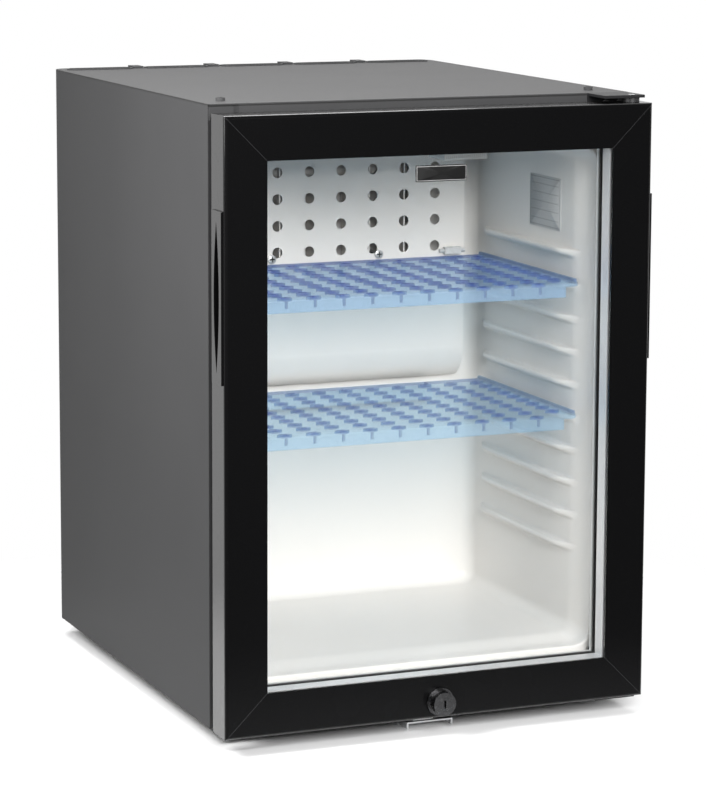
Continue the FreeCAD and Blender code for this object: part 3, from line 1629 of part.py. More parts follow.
def mains_inlet():
    def centred_block(name, width, height, front, back):
        low = (f"inlet_x - ({width}) / 2", front, f"inlet_z - ({height}) / 2")
        return block(name, low, (f"inlet_x + ({width}) / 2", back, f"inlet_z + ({height}) / 2"))

    front, flange_back = "box_back - inlet_depth", "box_back + inlet_flange_thick"
    body = centred_block("inlet_body", "inlet_width", "inlet_height", front, "box_back")
    wide, tall = "inlet_width + 2 * inlet_flange", "inlet_height + 2 * inlet_flange"
    flange = centred_block("inlet_flange_plate", wide, tall, "box_back", flange_back)
    wide, tall = "inlet_width - 2 * inlet_wall", "inlet_height - 2 * inlet_wall"
    socket = centred_block("inlet_socket", wide, tall, f"{front} + inlet_wall", f"{flange_back} + overrun")
    hollow = cut("inlet_hollow", join("inlet_solid", body, flange), socket)
    pins = []
    for number, step in enumerate((-1, 0, 1)):
        x = f"inlet_x + {step} * inlet_pin_pitch"
        low = (f"{x} - inlet_pin / 2", front, "inlet_z - inlet_pin_height / 2")
        high = (f"{x} + inlet_pin / 2", "box_back - inlet_pin_gap", "inlet_z + inlet_pin_height / 2")
        pins.append(block(f"inlet_pin_{number}", low, high))
    return join("mains_inlet", hollow, *pins)


def build():
    fill_sheet()
    pieces = [side_panel("side_panel_left", -1), side_panel("side_panel_right", 1)]
    pieces += [top_panel(), base_pan(), rear_bulkhead()]
    pieces += liner_and_foam()
    pieces += [cold_plate()]
    pieces += evaporator()
    pieces += sensor()
    pieces += [drip_channel(), drain_tube()]
    pieces += lamp()
    pieces += hinge_brackets()
    pieces += [hinge_cover(), strike_bracket()]
    pieces += [feet(), cabinet_screws()]
    pieces += boiler()
    pieces += unit_pipes()
    pieces += [absorber_coil(), condenser_fins()]
    pieces += vessel_and_tray()
    pieces += terminal_box()
    pieces += [mains_inlet()]
    pieces += [stile("frame_left", -1), stile("frame_right", 1)]
    pieces += [door_rail("frame_top", 1), door_rail("frame_bottom", -1), corner_keys()]
    pieces += glazing()
    pieces += gasket()
    pieces += [finger_grip("grip_left", -1), finger_grip("grip_right", 1)]
    pieces += [hinge_bushes()]
    pieces += lock()
    pieces += [shelf("upper_shelf", "upper_shelf_z"), shelf("lower_shelf", "lower_shelf_z")]
    doc.recompute()
    return pieces


def write(pieces):
    for thing in doc.Objects:
        if "Invalid" in thing.State or "Error" in thing.State:
            raise RuntimeError(f"{thing.Label} did not compute: {thing.State}")
    for piece in pieces:
        if piece.Shape.isNull() or not piece.Shape.isValid():
            raise RuntimeError(f"{piece.Label} has no sound shape")
    os.makedirs("parts", exist_ok=True)
    for piece in pieces:
        piece.Shape.exportStep(f"parts/{piece.Label}.step")
        print(piece.Label, len(piece.Shape.Solids), round(piece.Shape.Volume))
    print(len(pieces), "nodes")


write(build())
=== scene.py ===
import json

import bmesh
import bpy
import numpy as np
from mathutils import Matrix, Vector


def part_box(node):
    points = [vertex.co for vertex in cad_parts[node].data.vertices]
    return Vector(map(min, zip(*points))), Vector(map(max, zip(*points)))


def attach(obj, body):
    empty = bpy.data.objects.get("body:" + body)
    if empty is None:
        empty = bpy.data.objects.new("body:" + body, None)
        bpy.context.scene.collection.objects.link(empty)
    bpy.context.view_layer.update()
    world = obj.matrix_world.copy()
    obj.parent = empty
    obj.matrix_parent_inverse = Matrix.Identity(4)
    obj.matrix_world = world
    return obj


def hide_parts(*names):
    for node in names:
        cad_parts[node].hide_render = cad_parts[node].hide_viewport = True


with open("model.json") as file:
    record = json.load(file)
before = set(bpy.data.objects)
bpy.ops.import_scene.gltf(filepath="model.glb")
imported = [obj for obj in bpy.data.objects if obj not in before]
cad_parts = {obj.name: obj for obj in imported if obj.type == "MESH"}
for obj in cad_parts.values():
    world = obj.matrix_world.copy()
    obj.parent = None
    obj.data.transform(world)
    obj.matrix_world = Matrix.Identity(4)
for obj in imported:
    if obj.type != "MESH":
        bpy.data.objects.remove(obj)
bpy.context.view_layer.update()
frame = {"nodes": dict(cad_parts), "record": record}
nodes = frame["nodes"]
scene = bpy.context.scene
scene.view_settings.view_transform = "Standard"
scene.cycles.transparent_max_bounces = 40  # panes and shelves lie behind each other
millimetre = 0.001
casingLow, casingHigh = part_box("side_panel_left")[0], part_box("side_panel_right")[1]
doorLow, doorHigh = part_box("frame_bottom")[0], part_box("frame_top")[1]
shelfLow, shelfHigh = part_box("upper_shelf")
plateLow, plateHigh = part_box("cold_plate")
screwsLow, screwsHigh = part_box("cabinet_screws")
print("frame loaded:", len(nodes), "nodes")


class Wire:
    # a shader socket that can stand in a Python sum
    def __init__(self, tree, socket=None):
        self.tree = tree
        self.socket = socket

    def node(self, kind, settings=None, inputs=None, out=0):
        made = self.tree.nodes.new(kind)
        for key, value in (settings or {}).items():
            if key == "stops":
                setStops(made.color_ramp, value)
            else:
                setattr(made, key, value)
        for key, value in (inputs or {}).items():
            if isinstance(value, Wire):
                self.tree.links.new(value.socket, made.inputs[key])
            else:
                made.inputs[key].default_value = value
        return Wire(self.tree, made.outputs[out])

    def calc(self, word, *terms):
        return self.node("ShaderNodeMath", {"operation": word}, dict(enumerate(terms)))

    def __add__(self, other):
        return self.calc("ADD", self, other)

    def __sub__(self, other):
        return self.calc("SUBTRACT", self, other)

    def __rsub__(self, other):
        return self.calc("SUBTRACT", other, self)

    def __mul__(self, other):
        return self.calc("MULTIPLY", self, other)

    def __truediv__(self, other):
        return self.calc("DIVIDE", self, other)

    def __pow__(self, other):
        return self.calc("POWER", self, other)

    __radd__ = __add__
    __rmul__ = __mul__


def setStops(ramp, stops):
    while len(ramp.elements) < len(stops):
        ramp.elements.new(0.5)
    for element, (position, grey) in zip(ramp.elements, stops):
        element.position = position
        element.color = (grey, grey, grey, 1)


def newFinish(name, fixed):
    made = bpy.data.materials.new(name)
    made.use_nodes = True
    shader = made.node_tree.nodes["Principled BSDF"]
    for key, value in fixed.items():
        shader.inputs[key].default_value = value
    spot = Wire(made.node_tree).node("ShaderNodeTexCoord", out="Object")
    return made, shader, spot


def plug(shader, name, wire):
    wire.tree.links.new(wire.socket, shader.inputs[name])


def grain(spot, scale, detail=3.0, stretch=(1, 1, 1)):
    # cloudy grey value, scale in cells for each metre
    turned = spot.node("ShaderNodeMapping", None, {"Vector": spot, "Scale": stretch})
    return spot.node("ShaderNodeTexNoise", None, {"Vector": turned, "Scale": scale, "Detail": detail})


def axisOf(spot, letter):
    return spot.node("ShaderNodeSeparateXYZ", None, {0: spot}, out="XYZ".index(letter))


def ramp(value, stops):
    return value.node("ShaderNodeValToRGB", {"stops": stops}, {0: value})


def blendColours(mask, low, high):
    # colour that runs from low to high with the mask
    return mask.node("ShaderNodeMix", {"data_type": "RGBA"}, {0: mask, 6: low, 7: high}, out=2)


def tint(mask, low, high):
    return blendColours(mask, (*low, 1), (*high, 1))


def dent(height, strength, depth, radius=0.0):
    # bump from a height value, over edges rounded by radius
    inputs = {"Height": height, "Strength": strength, "Distance": depth}
    if radius:
        inputs["Normal"] = height.node("ShaderNodeBevel", {"samples": 4}, {"Radius": radius})
    return height.node("ShaderNodeBump", None, inputs)


def mixShaders(material, share, first, second):
    mixed = share.node("ShaderNodeMixShader", None, {0: share, 1: first, 2: second})
    share.tree.links.new(mixed.socket, material.node_tree.nodes["Material Output"].inputs["Surface"])


# camera
photoView = {
    "turns": (0.394, 0.157, 0.004),  # yaw, pitch, roll
    "carry": (58.211, 2829.3, -326.07),  # millimetres
    "focal": 3176.689,  # pixels
    "middle": (353.5, 340.0),
    "size": (707, 800),
    "origin": (0.0, casingLow.y / millimetre, casingLow.z / millimetre),  # cabinet's lower front edge
    "sensor": 36,
    "farClip": 50,
}


def setCamera(look):
    yaw, pitch, roll = look["turns"]
    turn = Matrix.Rotation(roll, 3, "Y") @ Matrix.Rotation(pitch, 3, "X") @ Matrix.Rotation(yaw, 3, "Z")
    eye = Vector(look["origin"]) - turn.transposed() @ Vector(look["carry"])
    wide, high = look["size"]
    lensData = bpy.data.cameras.new("photoCamera")
    lensData.sensor_width = look["sensor"]
    lensData.lens = look["focal"] * look["sensor"] / high
    lensData.shift_x = (wide / 2 - look["middle"][0]) / high
    lensData.shift_y = (look["middle"][1] - high / 2) / high
    lensData.clip_end = look["farClip"]
    camera = bpy.data.objects.new("photoCamera", lensData)
    facing = Matrix((turn[0], turn[2], -turn[1])).transposed().to_4x4()
    camera.matrix_world = Matrix.Translation(eye * millimetre) @ facing
    scene.collection.objects.link(camera)
    scene.camera = camera


setCamera(photoView)
print("camera set")

# studio
studio = {
    "ambient": 0.35,
    "leftAmbient": 0.12,
    "leftFade": (0.1, 0.45),  # from the left to the right of the world
    "dark": 0.02,  # what gloss sees in front of the object
    "darkFade": (0.42, 0.62),  # from the front to the back of the world
    # place, target, spread and watts
    "boxes": {
        "keyBox": ((-0.3, -2.5, 1.3), (0.0, -0.1, 0.3), (1.4, 1.0), 97),
        "leftBox": ((-0.75, -0.3, 0.65), (-0.2, -0.12, 0.42), (0.35, 0.4), 9.5),
        "topBox": ((0.1, 1.1, 2.0), (0.0, 0.05, 0.55), (1.6, 1.0), 30),
        "rightStrip": ((1.9, -1.4, 0.8), (0.2, -0.2, 0.35), (0.25, 1.5), 6),
    },
    "floorReach": 0.62,
    "floorTone": (0.93, 0.93, 0.93),
    "floorLift": 1.02,
    "floorFade": (0.45, 0.95),
}


def addLamp(name, place, target, spread, watts):
    lamp = bpy.data.lights.new(name, "AREA")
    lamp.shape = "RECTANGLE"
    lamp.size, lamp.size_y = spread
    lamp.energy = watts
    holder = bpy.data.objects.new(name, lamp)
    holder.location = place
    holder.rotation_euler = (Vector(target) - Vector(place)).to_track_quat("-Z", "Y").to_euler()
    scene.collection.objects.link(holder)


def setWorld(look):
    world = bpy.data.worlds.new("studioWorld")
    scene.world = world
    world.use_nodes = True
    tree = world.node_tree
    base = Wire(tree)
    spot = base.node("ShaderNodeTexCoord", out="Generated")
    near, far = look["darkFade"]
    behind = ramp(axisOf(spot, "Y") * 0.5 + 0.5, [(near, look["dark"]), (far, 1.0)])
    camera = base.node("ShaderNodeLightPath", out="Is Camera Ray")
    glossy = base.node("ShaderNodeLightPath", out="Is Glossy Ray")
    through = base.node("ShaderNodeLightPath", out="Is Transmission Ray")
    seen = camera.calc("MAXIMUM", camera, through)
    left, right = look["leftFade"]
    soft = ramp(axisOf(spot, "X") * 0.5 + 0.5, [(left, look["leftAmbient"]), (right, look["ambient"])])
    rest = soft * (1 - glossy) + behind * glossy
    strength = seen + rest * (1 - seen)
    tree.links.new(strength.socket, tree.nodes["Background"].inputs["Strength"])
    tree.nodes["Background"].inputs["Color"].default_value = (1, 1, 1, 1)


def addFloor(look):
    reach = look["floorReach"]
    mesh = bpy.data.meshes.new("floor")
    corners = [(-reach, -reach, 0), (reach, -reach, 0), (reach, reach, 0), (-reach, reach, 0)]
    mesh.from_pydata(corners, [], [(0, 1, 2, 3)])
    floor = bpy.data.objects.new("floor", mesh)
    scene.collection.objects.link(floor)
    made, shader, spot = newFinish("paleFloor", {"Roughness": 0.9, "Specular IOR Level": 0.1})
    shade = grain(spot, 6)
    lifted = tuple(value * look["floorLift"] for value in look["floorTone"])
    plug(shader, "Base Color", tint(shade, look["floorTone"], lifted))
    far = spot.node("ShaderNodeVectorMath", {"operation": "LENGTH"}, {0: spot}, out="Value")
    under = spot.node("ShaderNodeNewGeometry", out="Backfacing")
    full, clear = look["floorFade"]
    plug(shader, "Alpha", ramp(far / reach, [(full, 1.0), (clear, 0.0)]) * (1 - under))
    mesh.materials.append(made)


setWorld(studio)
addFloor(studio)
for boxName, settings in studio["boxes"].items():
    addLamp(boxName, *settings)
print("studio lit")


# finishes with a coarse grain and, on some, a fine one; grain is cells for each metre, detail and stretch
plainForms = {
    "black_steel": {
        "name": "blackSteel",
        "fixed": {"Specular IOR Level": 0.2},
        "coarse": (60, 4),
        "fine": (1500, 2),
        "colours": ((0.008, 0.008, 0.009), (0.016, 0.016, 0.017)),
        "rough": (0.42, 0.2),
        "bump": (0.2, 0.0003, 0.0004),
    },
    "spacer_aluminium": {
        "name": "spacerAluminium",
        "fixed": {"Metallic": 0.45},
        "coarse": (700, 2, (1, 1, 0.05)),
        "colours": ((0.6, 0.61, 0.62), (0.72, 0.72, 0.73)),
        "rough": (0.3, 0.15),
        "bump": (0.1, 0.0002),
    },
    "plate_aluminium": {
        "name": "plateAluminium",
        "fixed": {"Metallic": 0.25},
        "coarse": (14, 3),
        "fine": (900, 3, (0.04, 1, 1)),
        "colours": ((0.84, 0.808, 0.776), (0.895, 0.861, 0.829)),
        "rough": (0.42, 0.12),
        "bump": (0.12, 0.0002),
    },
    "grey_rubber": {
        "name": "greyRubber",
        "fixed": {"Specular IOR Level": 0.3},
        "coarse": (80, 4),
        "colours": ((0.2, 0.2, 0.205), (0.27, 0.27, 0.275)),
        "rough": (0.5, 0.2),
        "bump": (0.15, 0.0003, 0.0006),
    },
    "black_rubber": {
        "name": "blackRubber",
        "fixed": {"Specular IOR Level": 0.3},
        "coarse": (220, 4),
        "colours": ((0.012, 0.012, 0.012), (0.03, 0.03, 0.03)),
        "rough": (0.6, 0.2),
        "bump": (0.2, 0.0003, 0.0005),
    },
    "black_plastic": {
        "name": "blackPlastic",
        "fixed": {"Specular IOR Level": 0.4},
        "coarse": (40, 3),
        "fine": (1300, 3),
        "colours": ((0.011, 0.011, 0.012), (0.02, 0.02, 0.021)),
        "rough": (0.38, 0.2),
        "bump": (0.3, 0.0003, 0.0006),
    },
    "liner_plastic": {
        "name": "linerPlastic",
        "fixed": {"Specular IOR Level": 0.45},
        "coarse": (8, 3),
        "fine": (130, 2),
        "colours": ((0.755, 0.737, 0.715), (0.8, 0.782, 0.76)),
        "rough": (0.28, 0.1),
        "bump": (0.05, 0.0006, 0.0025),
    },
    "white_plastic": {
        "name": "whitePlastic",
        "fixed": {"Specular IOR Level": 0.45},
        "coarse": (60, 3),
        "colours": ((0.74, 0.74, 0.73), (0.82, 0.82, 0.81)),
        "rough": (0.3, 0.15),
        "bump": (0.08, 0.0003, 0.0005),
    },
    "mineral_wool": {
        "name": "mineralWool",
        "fixed": {"Specular IOR Level": 0.1},
        "coarse": (400, 5, (1, 1, 0.12)),
        "colours": ((0.38, 0.33, 0.2), (0.62, 0.56, 0.38)),
        "rough": (0.8, 0.15),
        "bump": (0.7, 0.0012),
    },
    "lock_metal": {
        "name": "lockMetal",
        "fixed": {"Metallic": 1.0},
        "coarse": (240, 3),
        "colours": ((0.05, 0.05, 0.052), (0.09, 0.09, 0.092)),
        "rough": (0.2, 0.14),
        "bump": (0.08, 0.0002, 0.0004),
    },
    "clip": {
        "name": "clipPlastic",
        "fixed": {"Specular IOR Level": 0.5},
        "coarse": (160, 3),
        "colours": ((0.5, 0.5, 0.5), (0.66, 0.66, 0.66)),
        "rough": (0.2, 0.15),
        "bump": (0.12, 0.0003, 0.0012),
    },
}


def plainFinish(name, fixed, coarse, colours, rough, bump, fine=None):
    # colour follows the coarse grain, roughness and bump follow the fine one if there is one
    made, shader, spot = newFinish(name, fixed)
    cloud = grain(spot, *coarse)
    speck = grain(spot, *fine) if fine else cloud
    plug(shader, "Base Color", tint(cloud, *colours))
    plug(shader, "Roughness", rough[0] + rough[1] * speck)
    plug(shader, "Normal", dent(speck, *bump))
    return made


def absolute(value):
    return value.calc("ABSOLUTE", value)


def slantOf(spot):
    # 0 face on, 1 edge on
    return spot.node("ShaderNodeLayerWeight", None, {"Blend": 0.5}, out="Facing")


def mirrorOf(spot, inputs):
    return spot.node("ShaderNodeBsdfGlossy", None, {"Color": (1, 1, 1, 1), **inputs})


# finishes of the casing
casingForm = {
    "seamX": (5, [(0.983, 0.0), (0.985, 1.0)]),  # scale of |x| and where the seam starts on it
    "seamZ": casingHigh.z - 0.2 * millimetre,
    "hemY": casingLow.y + 0.1 * millimetre,
    "hemZ": (casingHigh.z - 0.6 * millimetre, 0.6 * millimetre),  # middle and half height
    "paint": ((0.04, 0.04, 0.041), (0.052, 0.052, 0.053)),
    "seam": (0.02, 0.02, 0.02, 1),
}
zincForm = {"spangles": 160, "colours": ((0.5, 0.51, 0.52), (0.63, 0.63, 0.64))}


def casingPaint(name="casingPaint", gloss=0.03):
    made, shader, spot = newFinish(name, {"Specular IOR Level": gloss})
    mottle = grain(spot, 9, 4)
    speck = grain(spot, 1600, 2)
    across, along, height = (axisOf(spot, letter) for letter in "XYZ")
    # dark seams along the top's side edges and in the hem under its front edge
    scale, stops = casingForm["seamX"]
    side = ramp(absolute(across) * scale, stops) * height.calc("GREATER_THAN", height, casingForm["seamZ"])
    hem = along.calc("LESS_THAN", along, casingForm["hemY"])
    hem = hem * height.calc("COMPARE", height, *casingForm["hemZ"])
    seam = side.calc("MAXIMUM", side, hem)
    paint = tint(mottle, *casingForm["paint"])
    plug(shader, "Base Color", blendColours(seam, paint, casingForm["seam"]))
    plug(shader, "Roughness", 0.36 + 0.12 * speck + 0.05 * mottle)
    plug(shader, "Normal", dent(speck, 0.25, 0.0003, 0.0008))
    return made


def zincSteel():
    made, shader, spot = newFinish("zincSteel", {"Metallic": 1.0})
    size = {"Vector": spot, "Scale": zincForm["spangles"]}
    flake = spot.node("ShaderNodeTexVoronoi", None, size, out="Color")
    cloud = grain(spot, 45, 4)
    spangle = flake.node("ShaderNodeSeparateColor", None, {0: flake})
    plug(shader, "Base Color", tint(spangle, *zincForm["colours"]))
    plug(shader, "Roughness", 0.3 + 0.18 * cloud)
    plug(shader, "Normal", dent(cloud, 0.15, 0.0004, 0.0004))
    return made


# finishes of the door
doorForm = {
    "half": ((doorHigh.x - doorLow.x) / 2, (doorHigh.z - doorLow.z) / 2),  # half width and half height
    "middleZ": (doorLow.z + doorHigh.z) / 2,
    "faceY": doorLow.y + 0.3 * millimetre,
    "mitreLine": 0.4 * millimetre,
    "sealY": [(0.7892, 1.0), (0.7896, 0.0)],  # on a scale of y + 1
    "frame": ((0.0035, 0.0035, 0.0037), (0.006, 0.006, 0.0065)),
    "mitre": (0.02, 0.02, 0.021, 1),
    "frameShine": (0.002, 0.4, 2.5),  # share face on, what a slant adds and its power
    "pane": (0.992, 0.993, 0.991, 1),
    "paneShine": (0.0098, 0.6, 5.0),
    "bead": ((0.7, 0.7, 0.69), (0.78, 0.78, 0.77)),
    "seal": (0.01, 0.01, 0.01, 1),
}


def shineShare(spot, least, more, power):
    # least + more * slant to the power
    return least + more * slantOf(spot) ** power


def frameGloss():
    # dark when seen face on, bright at a slant
    made, shader, spot = newFinish("frameGloss", {"Specular IOR Level": 0.03})
    ripple = grain(spot, 24, 2)
    dust = ramp(grain(spot, 900, 2), [(0.62, 0.0), (0.8, 1.0)])
    # a fine pale line along the mitres, as far in from the door's side as from its top or bottom
    across, along, up = (axisOf(spot, letter) for letter in "XYZ")
    halfWidth, halfHeight = doorForm["half"]
    fromSide = halfWidth - absolute(across)
    fromEnd = halfHeight - absolute(up - doorForm["middleZ"])
    mitre = fromSide.calc("COMPARE", fromSide, fromEnd, doorForm["mitreLine"])
    mitre = mitre * along.calc("LESS_THAN", along, doorForm["faceY"])
    black = tint(dust, *doorForm["frame"])
    plug(shader, "Base Color", blendColours(mitre, black, doorForm["mitre"]))
    plug(shader, "Roughness", 0.25 + 0.1 * dust + 0.04 * ripple)
    bend = dent(ripple, 0.08, 0.0006, 0.0006)
    plug(shader, "Normal", bend)
    shine = shineShare(spot, *doorForm["frameShine"])
    mirror = mirrorOf(spot, {"Roughness": 0.1, "Normal": bend})
    mixShaders(made, shine, Wire(made.node_tree, shader.outputs[0]), mirror)
    return made


def paneGlass():
    made, shader, spot = newFinish("paneGlass", {})
    made.node_tree.nodes.remove(shader)
    smear = grain(spot, 14, 4)
    clear = spot.node("ShaderNodeBsdfTransparent", None, {0: doorForm["pane"]})
    shine = shineShare(spot, *doorForm["paneShine"])
    mixShaders(made, shine, clear, mirrorOf(spot, {"Roughness": 0.015 + 0.02 * smear}))
    return made


def beadPlastic():
    # white bead with a black seal along the pane
    made, shader, spot = newFinish("beadPlastic", {"Specular IOR Level": 0.4})
    cloud = grain(spot, 60, 3)
    seal = ramp(axisOf(spot, "Y") + 1, doorForm["sealY"])
    white = tint(cloud, *doorForm["bead"])
    plug(shader, "Base Color", blendColours(seal, white, doorForm["seal"]))
    plug(shader, "Roughness", 0.35 + 0.15 * cloud)
    plug(shader, "Normal", dent(cloud, 0.08, 0.0003, 0.0005))
    return made


# finishes of the inside
lensForm = {"ribs": 160, "colours": ((0.85, 0.85, 0.84), (0.95, 0.95, 0.95))}


def clearPlastic():
    made, shader, spot = newFinish("clearPlastic", {"Alpha": 0.6, "Specular IOR Level": 0.5})
    size = {"Vector": spot, "Scale": lensForm["ribs"]}
    ribs = spot.node("ShaderNodeTexWave", None, size, out="Fac")
    plug(shader, "Base Color", tint(ribs, *lensForm["colours"]))
    plug(shader, "Roughness", 0.18 + 0.1 * ribs)
    plug(shader, "Normal", dent(ribs, 0.2, 0.0004))
    return made


shelfForm = {
    "pitch": 0.027,  # between the slots of a row
    "rowPitch": 0.0205,
    "rowY": -0.1495,  # the first regular row, behind the front row
    "behindFrontRow": -0.162,
    "lipBack": shelfLow.y + 3.05 * millimetre,
    "rimX": shelfHigh.x - 3.5 * millimetre,
    "halo": (7.5, 4.6),  # half sizes in millimetres
    "slant": [(0.81, 0.0), (0.87, 1.0)],  # where the way through the plastic gets long
    "flat": ((0.46, 0.66, 0.82), (0.53, 0.72, 0.86)),
    "slanted": (0.27, 0.47, 0.83, 1),
    "deep": ((0.008, 0.028, 0.21), (0.02, 0.046, 0.29)),
    "clear": (0.87, 0.945, 0.99, 1),
}


def bluePlastic(name="bluePlastic", lipDepth=0.2, wallCover=0.36):
    # clear and pale on the flats, deep blue on cut walls, round the slots and on pips between them
    made, shader, spot = newFinish(name, {"Specular IOR Level": 0.5})
    cloud = grain(spot, 30, 3)
    normal = spot.node("ShaderNodeNewGeometry", out="Normal")
    upright = ramp(absolute(axisOf(normal, "Z")), [(0.3, 1.0), (0.75, 0.0)])
    slope = ramp(absolute(axisOf(normal, "Y")), [(0.1, 1.0), (0.3, 0.55), (0.7, 0.65), (0.95, 1.0)])
    across, along = axisOf(spot, "X"), axisOf(spot, "Y")
    inside = along.calc("GREATER_THAN", along, shelfForm["lipBack"])
    # millimetres from the nearest pip: 0 to half a pitch sideways, 0 to half a row pitch along
    pitch, rowPitch = shelfForm["pitch"], shelfForm["rowPitch"]
    sideways = across.calc("PINGPONG", across / pitch, 0.5) * (pitch / millimetre)
    rows = along.calc("PINGPONG", (along - shelfForm["rowY"]) / rowPitch, 0.5) * (rowPitch / millimetre)
    pip = ramp((sideways ** 2 + rows ** 2) ** 0.5 * 0.5, [(0.4, 1.0), (0.7, 0.0)])
    rim = 0.3 * across.calc("GREATER_THAN", absolute(across), shelfForm["rimX"])
    cut = upright * inside * slope * (1 - rim)
    lip = lipDepth * upright * (1 - inside)
    slant = ramp(slantOf(spot), shelfForm["slant"])
    # the slots' walls seen through the flat round each slot
    halfLong, halfDeep = shelfForm["halo"]
    fromSlot = ((pitch / 2 / millimetre - sideways) / halfLong) ** 2 + (rows / halfDeep) ** 2
    halo = ramp(fromSlot ** 0.5, [(0.7, 1.0), (1.0, 0.0)])
    halo = halo * along.calc("GREATER_THAN", along, shelfForm["behindFrontRow"]) * (0.05 + 0.9 * slant)
    marks = halo.calc("MAXIMUM", halo, 0.7 * pip * inside)
    wall = lip + cut.calc("MAXIMUM", cut, marks)
    pale = blendColours(0.9 * slant, tint(cloud, *shelfForm["flat"]), shelfForm["slanted"])
    deep = tint(cloud, *shelfForm["deep"])
    plug(shader, "Base Color", blendColours(wall, pale, deep))
    plug(shader, "Roughness", 0.12 + 0.1 * cloud)
    plug(shader, "Normal", dent(cloud, 0.06, 0.0004, 0.0006))
    clear = spot.node("ShaderNodeBsdfTransparent", None, {0: shelfForm["clear"]})
    cover = 0.1 + 0.06 * cloud + 0.16 * slant + (wallCover + 0.4 * slant) * wall
    mixShaders(made, cover, clear, Wire(made.node_tree, shader.outputs[0]))
    return made


# finishes of the filling and the screws
foamForm = {"cells": 420, "colours": ((0.6, 0.5, 0.27), (0.72, 0.63, 0.38))}


def foamCore():
    made, shader, spot = newFinish("foamCore", {"Specular IOR Level": 0.15})
    size = {"Vector": spot, "Scale": foamForm["cells"]}
    cells = spot.node("ShaderNodeTexVoronoi", None, size, out="Distance")
    cloud = grain(spot, 20, 4)
    plug(shader, "Base Color", tint(cloud, *foamForm["colours"]))
    plug(shader, "Roughness", 0.75 + 0.2 * cells)
    plug(shader, "Normal", dent(cells, 0.5, 0.0008))
    return made


crossForm = {
    "plate": (0.054, 0.392),  # |x| and z of the cold plate's screws
    "top": (0.175, -0.1595),  # |x| and y of the top's screws
    "arm": (0.0026, 0.0006),  # half length and half width
    "topZ": 0.5,  # between the cold plate's screws and those at the top
    "bright": (0.55, 0.55, 0.555, 1),
    "dull": (0.055, 0.055, 0.056, 1),
    # painted shade in the cross recesses
    "recessShade": (0.03, 0.03, 0.03, 1),
}
(plateX, plateZ), (topX, topY) = crossForm["plate"], crossForm["top"]


def crossMask(u, v):
    length, width = crossForm["arm"]
    arms = []
    for along, aside in ((u, v), (v, u)):
        inLength = along.calc("LESS_THAN", absolute(along), length)
        arms.append(inLength * aside.calc("LESS_THAN", absolute(aside), width))
    return arms[0].calc("MAXIMUM", *arms)


def screwMetal():
    # painted shade darkens the cross recesses; screws above topZ are dull, the others bright
    made, shader, spot = newFinish("screwMetal", {"Specular IOR Level": 0.3})
    cloud = grain(spot, 500, 3)
    x, y, z = (axisOf(spot, letter) for letter in "XYZ")
    recess = crossMask(absolute(x) - plateX, z - plateZ) + crossMask(absolute(x) - topX, y - topY)
    dull = z.calc("GREATER_THAN", z, crossForm["topZ"])
    metal = blendColours(dull, crossForm["bright"], crossForm["dull"])
    plug(shader, "Base Color", blendColours(recess, metal, crossForm["recessShade"]))
    plug(shader, "Metallic", 0.6 * (1 - dull))
    plug(shader, "Roughness", 0.36 + 0.14 * cloud + 0.48 * dull)
    plug(shader, "Normal", dent(cloud, 0.1, 0.0002))
    return made


finishes = {slot: plainFinish(**form) for slot, form in plainForms.items()}
finishes.update({
    "casing_paint": casingPaint(),
    "top": casingPaint("topPaint", 0.12),
    "zinc_steel": zincSteel(),
    "black_aluminium": frameGloss(),
    "glass": paneGlass(),
    "bead": beadPlastic(),
    "clear_plastic": clearPlastic(),
    "blue_plastic": bluePlastic(),
    # painted shade: a darker, deeper blue copy of the same plastic for the upper shelf
    "shadedUpperShelf": bluePlastic("shadedUpperPlastic", 0.35, 0.6),
    "foam": foamCore(),
    "screw": screwMetal(),
})
nodeFinish = {part["node"]: part["material_slot"] for part in frame["record"]["subparts"]}
nodeFinish.update({
    "cabinet_screws": "screw",
    "sensor_clip": "clip",
    "top_panel": "top",
    "glazing_bead": "bead",
    "evaporator_fins": "plate_aluminium",
    "evaporator_pipe": "plate_aluminium",
    "grip_left": "black_aluminium",
    "grip_right": "black_aluminium",
    # the upper shelf takes the darker copy of the plastic, painted shade
    "upper_shelf": "shadedUpperShelf",
})
for name, finish in nodeFinish.items():
    mesh = nodes[name].data
    mesh.materials.clear()
    mesh.materials.append(finishes[finish])
print("finishes set:", len(finishes))


# new pieces
mergeReach = 1e-6
sharpAngle = 0.7  # radians


def addSurface(name, grids, body, slot, closed=True, solid=True, look=None):
    # grids[number, row, column] is a point; columns join round when closed, double points merge
    count, rows, columns = grids.shape[:3]
    last = columns if closed else columns - 1
    number, row, column = np.meshgrid(np.arange(count), np.arange(rows - 1), np.arange(last), indexing="ij")
    ahead = (column + 1) % columns
    here = (number * rows + row) * columns
    below = here + columns
    quads = np.stack([here + column, here + ahead, below + ahead, below + column], axis=-1)
    mesh = bpy.data.meshes.new(name)
    mesh.from_pydata(grids.reshape(-1, 3).tolist(), [], quads.reshape(-1, 4).tolist())
    tidy = bmesh.new()
    tidy.from_mesh(mesh)
    bmesh.ops.remove_doubles(tidy, verts=tidy.verts, dist=mergeReach)
    if solid:
        bmesh.ops.recalc_face_normals(tidy, faces=tidy.faces)
    tidy.to_mesh(mesh)
    tidy.free()
    mesh.polygons.foreach_set("use_smooth", np.ones(len(mesh.polygons), dtype=bool))
    mesh.set_sharp_from_angle(angle=sharpAngle)
    mesh.materials.append(finishes[look or slot])
    piece = bpy.data.objects.new(name, mesh)
    scene.collection.objects.link(piece)
    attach(piece, body)
    return piece


def cornerArc(quarter, steps):
    # unit arc points of one corner, quarter 0 at the upper right and on anticlockwise
    angle = (quarter + np.linspace(0, 1, steps)) * np.pi / 2
    return np.stack([np.cos(angle), np.sin(angle)], axis=-1)


